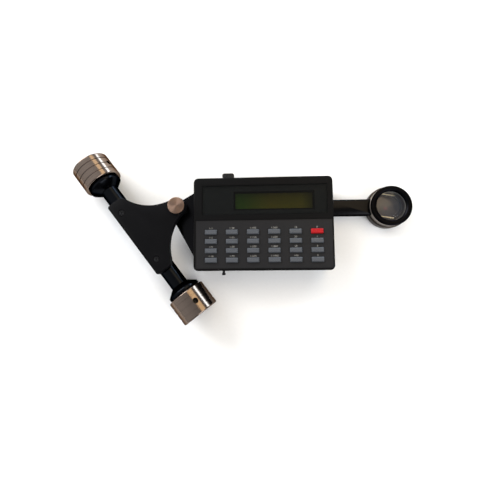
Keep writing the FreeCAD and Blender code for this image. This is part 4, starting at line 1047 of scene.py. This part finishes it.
# Pivot. A shouldered steel pin is riveted in the bracket and carries the carriage plate. The
# knob on top is turned from bronze coloured steel, and its face is spun in fine rings.
KNOB_EDGE = 0.6
KNOB_BORE = 2.55
KNOB_SEAT = 3.2
KNOB_BASE = pivot_low.z / MM
KNOB_HIGH = pivot_high.z / MM - KNOB_BASE
KNOB_RADIUS = (pivot_high.x - pivot_low.x) / MM / 2
pivot_axis = at(PIVOT_X, ARM_Y, 0)
pin_steel = turned_finish("pin_steel", (0.42, 0.42, 0.42), 0.3, pivot_axis, UP, pitch=0.25, Metallic=1.0)
dress("pivot_pin", pin_steel)
knob_spun = turned_finish(
    "knob_spun", (0.215, 0.141, 0.104), 0.36, pivot_axis, UP, pitch=0.28, relief=0.35, Metallic=1.0,
    Anisotropic=0.85,
)
shader = knob_spun.node_tree
grooves = shader.nodes.new("ShaderNodeTangent")
grooves.direction_type = "RADIAL"
grooves.axis = "Z"
shader.links.new(grooves.outputs["Tangent"], shader.nodes["Principled BSDF"].inputs["Tangent"])


def turned_edge(radius, start, end, outward=True):
    """Profile points of a turned piece's rounded edge."""
    return [(radius - depth, level) for level, depth in rounding(start, end, end - start, outward)]


knob = lathe(
    [(KNOB_BORE, 0), (KNOB_RADIUS - KNOB_EDGE, 0), (KNOB_RADIUS, KNOB_EDGE)]
    + turned_edge(KNOB_RADIUS, KNOB_HIGH - KNOB_EDGE, KNOB_HIGH)
    + [(0, KNOB_HIGH), (0, KNOB_SEAT), (KNOB_BORE, KNOB_SEAT)],
    (PIVOT_X, ARM_Y, KNOB_BASE),
)
show("spun_knob", knob, knob_spun, "pivot_knob", ["pivot_knob"])

# Carriage plate. Milled from aluminium and anodised black: two large arcs cut its waist, its
# nose turns on the pivot pin, and two sunk screws hold it on the axle tube. Layouts of the
# carriage run from the pivot, x towards the case across the axle and y along the axle.
SWING_ANGLE = 37.5
REACH = 52.0
PLATE_LOW = 30.7
PLATE_TOP = 39.5
PLATE_BACK = 9.0
PLATE_HALF = 46.4
PLATE_END = 8.5
PLATE_CORNER = 1.5
PLATE_EDGE = 0.6
NOSE_RADIUS = 9.5
NOTCH_ACROSS = 60.6
NOTCH_ALONG = 60.8
SHOULDER_ACROSS = 12.9
SHOULDER_ALONG = 40.2
PIVOT_BORE = 4.05
SCREW_SPREAD = 32.0
SINK_RADIUS = 3.02
SINK_FLOOR = 36.3
PLATE_BREAK = 0.3
PLATE_CUT = 1.5
THREAD_ROOM = 1.62
SINK_BEVEL = 0.5
SINK_DROP = 0.35
SINK_PAST = 0.15
carriage_home = Matrix.Translation(pivot_axis) @ Matrix.Rotation(math.radians(SWING_ANGLE), 4, "Z")
notch_x = NOTCH_ACROSS - REACH
notch_radius = math.hypot(notch_x, NOTCH_ALONG) - NOSE_RADIUS
notch_start = math.atan2(NOTCH_ALONG - SHOULDER_ALONG, SHOULDER_ACROSS - REACH - notch_x)
notch_end = math.atan2(NOTCH_ALONG, -notch_x)
lower_half = [
    (-REACH - PLATE_BACK, PLATE_CORNER - PLATE_HALF),
    (-REACH - PLATE_BACK + PLATE_CORNER, -PLATE_HALF),
    (PLATE_END - REACH, -PLATE_HALF),
] + arc((notch_x, -NOTCH_ALONG), notch_radius, notch_start, notch_end, 32)
nose = arc((0, 0), NOSE_RADIUS, notch_end - math.pi, math.pi - notch_end, 24)
upper_half = [(x, -y) for x, y in reversed(lower_half)]
plate = carved(
    stacked(
        lower_half + nose[1:-1] + upper_half,
        [(PLATE_LOW, PLATE_BREAK), (PLATE_LOW + PLATE_BREAK, 0)]
        + rounding(PLATE_TOP - PLATE_EDGE, PLATE_TOP, PLATE_EDGE),
        carriage_home,
    ),
    rod(PIVOT_BORE, PLATE_LOW - PLATE_CUT, PLATE_TOP + PLATE_CUT, home=carriage_home, steps=48),
    *[
        lathe(
            [
                (0, PLATE_LOW - PLATE_CUT), (THREAD_ROOM, PLATE_LOW - PLATE_CUT),
                (THREAD_ROOM, SINK_FLOOR), (SINK_RADIUS, SINK_FLOOR),
                (SINK_RADIUS, PLATE_TOP - SINK_DROP), (SINK_RADIUS + SINK_BEVEL, PLATE_TOP + SINK_PAST),
                (0, PLATE_TOP + SINK_PAST),
            ],
            (-REACH, side * SCREW_SPREAD, 0),
            home=carriage_home,
            steps=48,
        )
        for side in (-1, 1)
    ],
)
plate_black = finish(
    "plate_black", (0.0032, 0.0032, 0.0038), 0.42, grain=2400, relief=0.35, grime=0.2,
    Specular_IOR_Level=0.06,
)
show("carriage_form", plate, plate_black, "carriage", ["carriage_plate"])

# Plate screws. Two cap screws of blackened steel, with chamfered heads and hexagon sockets. They
# sit sunk in the plate and thread into the axle tube.
CAP_RADIUS = 2.8
CAP_TOP = 39.2
THREAD_RADIUS = 1.6
THREAD_END = 27.3
HEX_RADIUS = 1.5
HEX_DEPTH = 1.8
HEX_TURN = 0.3
CAP_BEVEL = 0.45
screws = []
for side in (-1, 1):
    middle = (-REACH, side * SCREW_SPREAD)
    screws.append(carved(
        lathe(
            [
                (0, THREAD_END), (THREAD_RADIUS, THREAD_END), (THREAD_RADIUS, SINK_FLOOR),
                (CAP_RADIUS, SINK_FLOOR), (CAP_RADIUS, CAP_TOP - CAP_BEVEL),
                (CAP_RADIUS - CAP_BEVEL, CAP_TOP), (0, CAP_TOP),
            ],
            (*middle, 0), home=carriage_home, steps=48,
        ),
        stacked(
            arc(middle, HEX_RADIUS, HEX_TURN, HEX_TURN + 2 * math.pi * 5 / 6, 5),
            sunk(CAP_TOP - HEX_DEPTH, CAP_TOP),
            carriage_home,
        ),
    ))
screw_black = finish("screw_black", (0.012, 0.012, 0.013), 0.3, grain=1500, relief=0.1, Metallic=0.5)
show("plate_screw_forms", gathered(*screws), screw_black, "carriage", ["plate_screws"])

# Axle tube. Drawn tube, anodised black, with a flat milled on top as a seat for the plate. A
# turned cup pressed on each end holds a ball bearing.
AXLE_Z = 21.37
TUBE_RADIUS = 9.7
TUBE_BORE = 5.5
TUBE_HALF = 67.4
CUP_RADIUS = 18.4
CUP_FLARE = 6.3
CUP_LENGTH = 10.1
FLARE_ROOT = (0.9, 0.35)
FLARE_END = (0.8, 0.25)
FLARE_TURN = (0.2, 0.35)
CUP_LAND = 1.0
CUP_EDGE = 0.5
CUP_SOFT = 0.15
BEARING_RADIUS = 11.0
BEARING_WIDTH = 7.0
axle_foot = carriage_home @ Vector((-REACH * MM, 0, AXLE_Z * MM))
axle_way = (carriage_home.to_3x3() @ Vector((0, 1, 0))).normalized()
tube_black = turned_finish(
    "tube_black", (0.0085, 0.0095, 0.0115), 0.2, axle_foot, axle_way, pitch=0.6, relief=0.04, Metallic=1.0,
    Specular_Tint=(0.17, 0.18, 0.2, 1),
)
tube = carved(
    lathe(
        [
            (TUBE_BORE, -TUBE_HALF), (TUBE_RADIUS, -TUBE_HALF),
            (TUBE_RADIUS, TUBE_HALF), (TUBE_BORE, TUBE_HALF),
        ],
        (-REACH, 0, AXLE_Z),
        (0, 1, 0),
        carriage_home,
    ),
    upright(
        rectangle(*around(-REACH, 0, 2 * (TUBE_RADIUS + OVERCUT), 2 * (PLATE_HALF + SLIP))),
        PLATE_LOW, PLATE_LOW + TUBE_RADIUS, home=carriage_home,
    ),
)
show("tube_form", tube, tube_black, "carriage", ["axle_tube"])
cup_profile = [
    (TUBE_BORE, 0), (TUBE_RADIUS, 0), (TUBE_RADIUS + FLARE_ROOT[0], FLARE_ROOT[1]),
    (CUP_RADIUS - FLARE_END[0], CUP_FLARE - FLARE_END[1]),
    (CUP_RADIUS - FLARE_TURN[0], CUP_FLARE + FLARE_TURN[1]), (CUP_RADIUS, CUP_FLARE + CUP_LAND),
    (CUP_RADIUS, CUP_LENGTH - CUP_EDGE), (CUP_RADIUS - CUP_SOFT, CUP_LENGTH - CUP_SOFT),
    (CUP_RADIUS - CUP_EDGE, CUP_LENGTH), (BEARING_RADIUS, CUP_LENGTH),
    (BEARING_RADIUS, CUP_LENGTH - BEARING_WIDTH), (TUBE_BORE, CUP_LENGTH - BEARING_WIDTH),
]
cups = gathered(*[
    lathe(cup_profile, (-REACH, side * TUBE_HALF, AXLE_Z), (0, side, 0), carriage_home) for side in (-1, 1)
])
show("cup_forms", cups, tube_black, "carriage", ["bearing_cups"])
bright_steel = turned_finish(
    "bright_steel", (0.5, 0.5, 0.5), 0.24, axle_foot, axle_way, pitch=0.2, Metallic=1.0
)
dress("ball_bearings", bright_steel)
dress("axle_shaft", bright_steel)

# Rollers. Heavy rims turned from bronze coloured metal, with three grooves, a dished outer
# face and a radial hole each for the set screw that holds them on the shaft.
ROLLER_START = 78.4
ROLLER_WIDTH = 28.4
ROLLER_EDGE = 1.2
ROLLER_LAND = 0.15
GROOVE_WIDTH = 0.8
GROOVE_DEPTH = 0.6
DISH_RADIUS = 17.0
HUB_RADIUS = 8.0
DISH_DEPTH = 3.0
SHAFT_HOLE = 4.02
HOLE_BREAK = 0.4
GRUB_HOLE = 2.75
GRUB_BEVEL = 0.5
GRUB_DROP = 0.45
GRUB_PAST = 0.1
GROOVE_BREAK = 0.1
RIM_BREAK = 0.3
GRUB_TURNS = {"roller_front": (-1, 21.0), "roller_rear": (1, 72.0)}
roller_metal = turned_finish(
    "roller_metal", (0.215, 0.169, 0.14), 0.14, axle_foot, axle_way, pitch=0.5, relief=0.02, shade=0.14,
    Metallic=1.0, Specular_Tint=(0.18, 0.15, 0.13, 1),
)
rim = turned_edge(AXLE_Z, 0, ROLLER_EDGE, outward=False)
rim.append((AXLE_Z, ROLLER_EDGE + ROLLER_LAND))
for part in (1, 2, 3):
    before = ROLLER_WIDTH * part / 4 - GROOVE_WIDTH / 2
    after = ROLLER_WIDTH * part / 4 + GROOVE_WIDTH / 2
    rim += [
        (AXLE_Z, before - GROOVE_BREAK), (AXLE_Z - GROOVE_DEPTH, before),
        (AXLE_Z - GROOVE_DEPTH, after), (AXLE_Z, after + GROOVE_BREAK),
    ]
rim.append((AXLE_Z, ROLLER_WIDTH - ROLLER_EDGE - ROLLER_LAND))
rim += turned_edge(AXLE_Z, ROLLER_WIDTH - ROLLER_EDGE, ROLLER_WIDTH)
rim += [
    (DISH_RADIUS + RIM_BREAK, ROLLER_WIDTH), (DISH_RADIUS, ROLLER_WIDTH - RIM_BREAK),
    (DISH_RADIUS, ROLLER_WIDTH - DISH_DEPTH), (HUB_RADIUS, ROLLER_WIDTH - DISH_DEPTH),
    (HUB_RADIUS, ROLLER_WIDTH - RIM_BREAK), (HUB_RADIUS - RIM_BREAK, ROLLER_WIDTH),
    (SHAFT_HOLE + HOLE_BREAK, ROLLER_WIDTH), (SHAFT_HOLE, ROLLER_WIDTH - HOLE_BREAK), (SHAFT_HOLE, 0),
]
grub_hole = [
    (0, 0), (GRUB_HOLE, 0), (GRUB_HOLE, AXLE_Z - GRUB_DROP),
    (GRUB_HOLE + GRUB_BEVEL, AXLE_Z + GRUB_PAST), (0, AXLE_Z + GRUB_PAST),
]
for label, (side, degrees) in GRUB_TURNS.items():
    turn = math.radians(degrees)
    radial = (math.sin(turn), 0, math.cos(turn))
    middle = (-REACH, side * (ROLLER_START + ROLLER_WIDTH / 2), AXLE_Z)
    form = carved(
        lathe(rim, (-REACH, side * ROLLER_START, AXLE_Z), (0, side, 0), carriage_home, 160),
        lathe(grub_hole, middle, radial, carriage_home, 48),
    )
    show(label + "_rim", form, roller_metal, "axle", [label])

# Stage. A plain pale floor of paper and a pale studio, brighter at the left and behind. Two long
# soft strips show as stripes along the rollers, a small warm lamp lights the display, and two
# broad lamps fill in from the front and the rear.
FLOOR_REACH = 3.0
FLOOR_DROP = 0.0002
BRIGHT_SIDE = (-0.8, 0.6, 0)
floor_mesh = bpy.data.meshes.new("floor")
floor_corners = rectangle(-FLOOR_REACH, -FLOOR_REACH, FLOOR_REACH, FLOOR_REACH)
floor_mesh.from_pydata([(x, y, 0) for x, y in floor_corners], [], [(0, 1, 2, 3)])
floor_mesh.materials.append(finish("paper", (0.92, 0.92, 0.92), 0.8, grain=300, relief=0.02, shade=0.01))
floor = bpy.data.objects.new("floor", floor_mesh)
floor.location.z = -FLOOR_DROP
bpy.context.scene.collection.objects.link(floor)

world = bpy.data.worlds.new("studio")
bpy.context.scene.world = world
world.use_nodes = True
sky = world.node_tree
direction = sky.nodes.new("ShaderNodeTexCoord")
lean = vector_math(sky, "DOT_PRODUCT", direction.outputs["Generated"], BRIGHT_SIDE)
fall = node(sky, "ShaderNodeMapRange", From_Min=-0.35, From_Max=0.45, To_Min=0.2, To_Max=0.85)
sky.links.new(lean.outputs["Value"], fall.inputs["Value"])
sky.links.new(fall.outputs["Result"], sky.nodes["Background"].inputs["Strength"])
sky.nodes["Background"].inputs["Color"].default_value = (0.97, 0.98, 1, 1)


def lamp(name, place, target, size, power, colour=(1, 1, 1), roll=0.0):
    """A rectangular lamp; place and target are in metres across the axle, along it and above."""
    level = carriage_home.to_3x3().to_4x4()
    here = level @ Vector(place)
    there = level @ Vector(target)
    light = bpy.data.lights.new(name, "AREA")
    light.shape = "RECTANGLE"
    light.size, light.size_y = size
    light.energy = power
    light.color = colour
    holder = bpy.data.objects.new(name, light)
    holder.location = here
    aim = (there - here).to_track_quat("-Z", "Y")
    holder.rotation_mode = "QUATERNION"
    holder.rotation_quaternion = aim @ Matrix.Rotation(math.radians(roll), 3, "Z").to_quaternion()
    bpy.context.scene.collection.objects.link(holder)


lamp("white_strip", (1.3, 0.46, 0.31), (0, 0.46, 0.2), (1.2, 0.31), 9.5, (0.7, 0.86, 1), -17.6)
lamp("warm_strip", (0.75, 0.45, 0.9), (-0.04, 0.76, 0), (1.3, 0.48), 4.2, (1, 0.76, 0.42))
lamp("display_glow", (0.281, 0.056, 0.9), (0.076, -0.012, 0.033), (0.035, 0.12), 0.06, (1, 0.7, 0.35), 40)
lamp("front_fill", (0.25, -0.88, 0.85), (0, 0, 0), (0.9, 0.8), 10)
lamp("rear_fill", (-0.2, 1.55, 0.75), (0, 0, 0), (1.2, 0.9), 34)

# Camera. It stands about 39 centimetres over the paper, above the case's front edge, and looks
# down with a lean of about six degrees, as fitted to the case's corners and the keys.
FOCAL_PIXELS = 330.445
PICTURE_PIXELS = 480
CAMERA_PLACE = (68.213, 2.140, 387.043)
RIGHTWARD = (0.99863, -0.00835, -0.05181)
UPWARD = (0.01279, 0.99621, 0.08607)
BACKWARD = (0.05089, -0.08662, 0.99494)
camera_data = bpy.data.cameras.new("camera")
camera_data.lens = FOCAL_PIXELS / PICTURE_PIXELS * camera_data.sensor_width
camera = bpy.data.objects.new("camera", camera_data)
view = Matrix((RIGHTWARD, UPWARD, BACKWARD)).transposed().to_4x4()
camera.matrix_world = Matrix.Translation(at(*CAMERA_PLACE)) @ view
bpy.context.scene.collection.objects.link(camera)
bpy.context.scene.camera = camera
bpy.context.scene.view_settings.view_transform = "Standard"
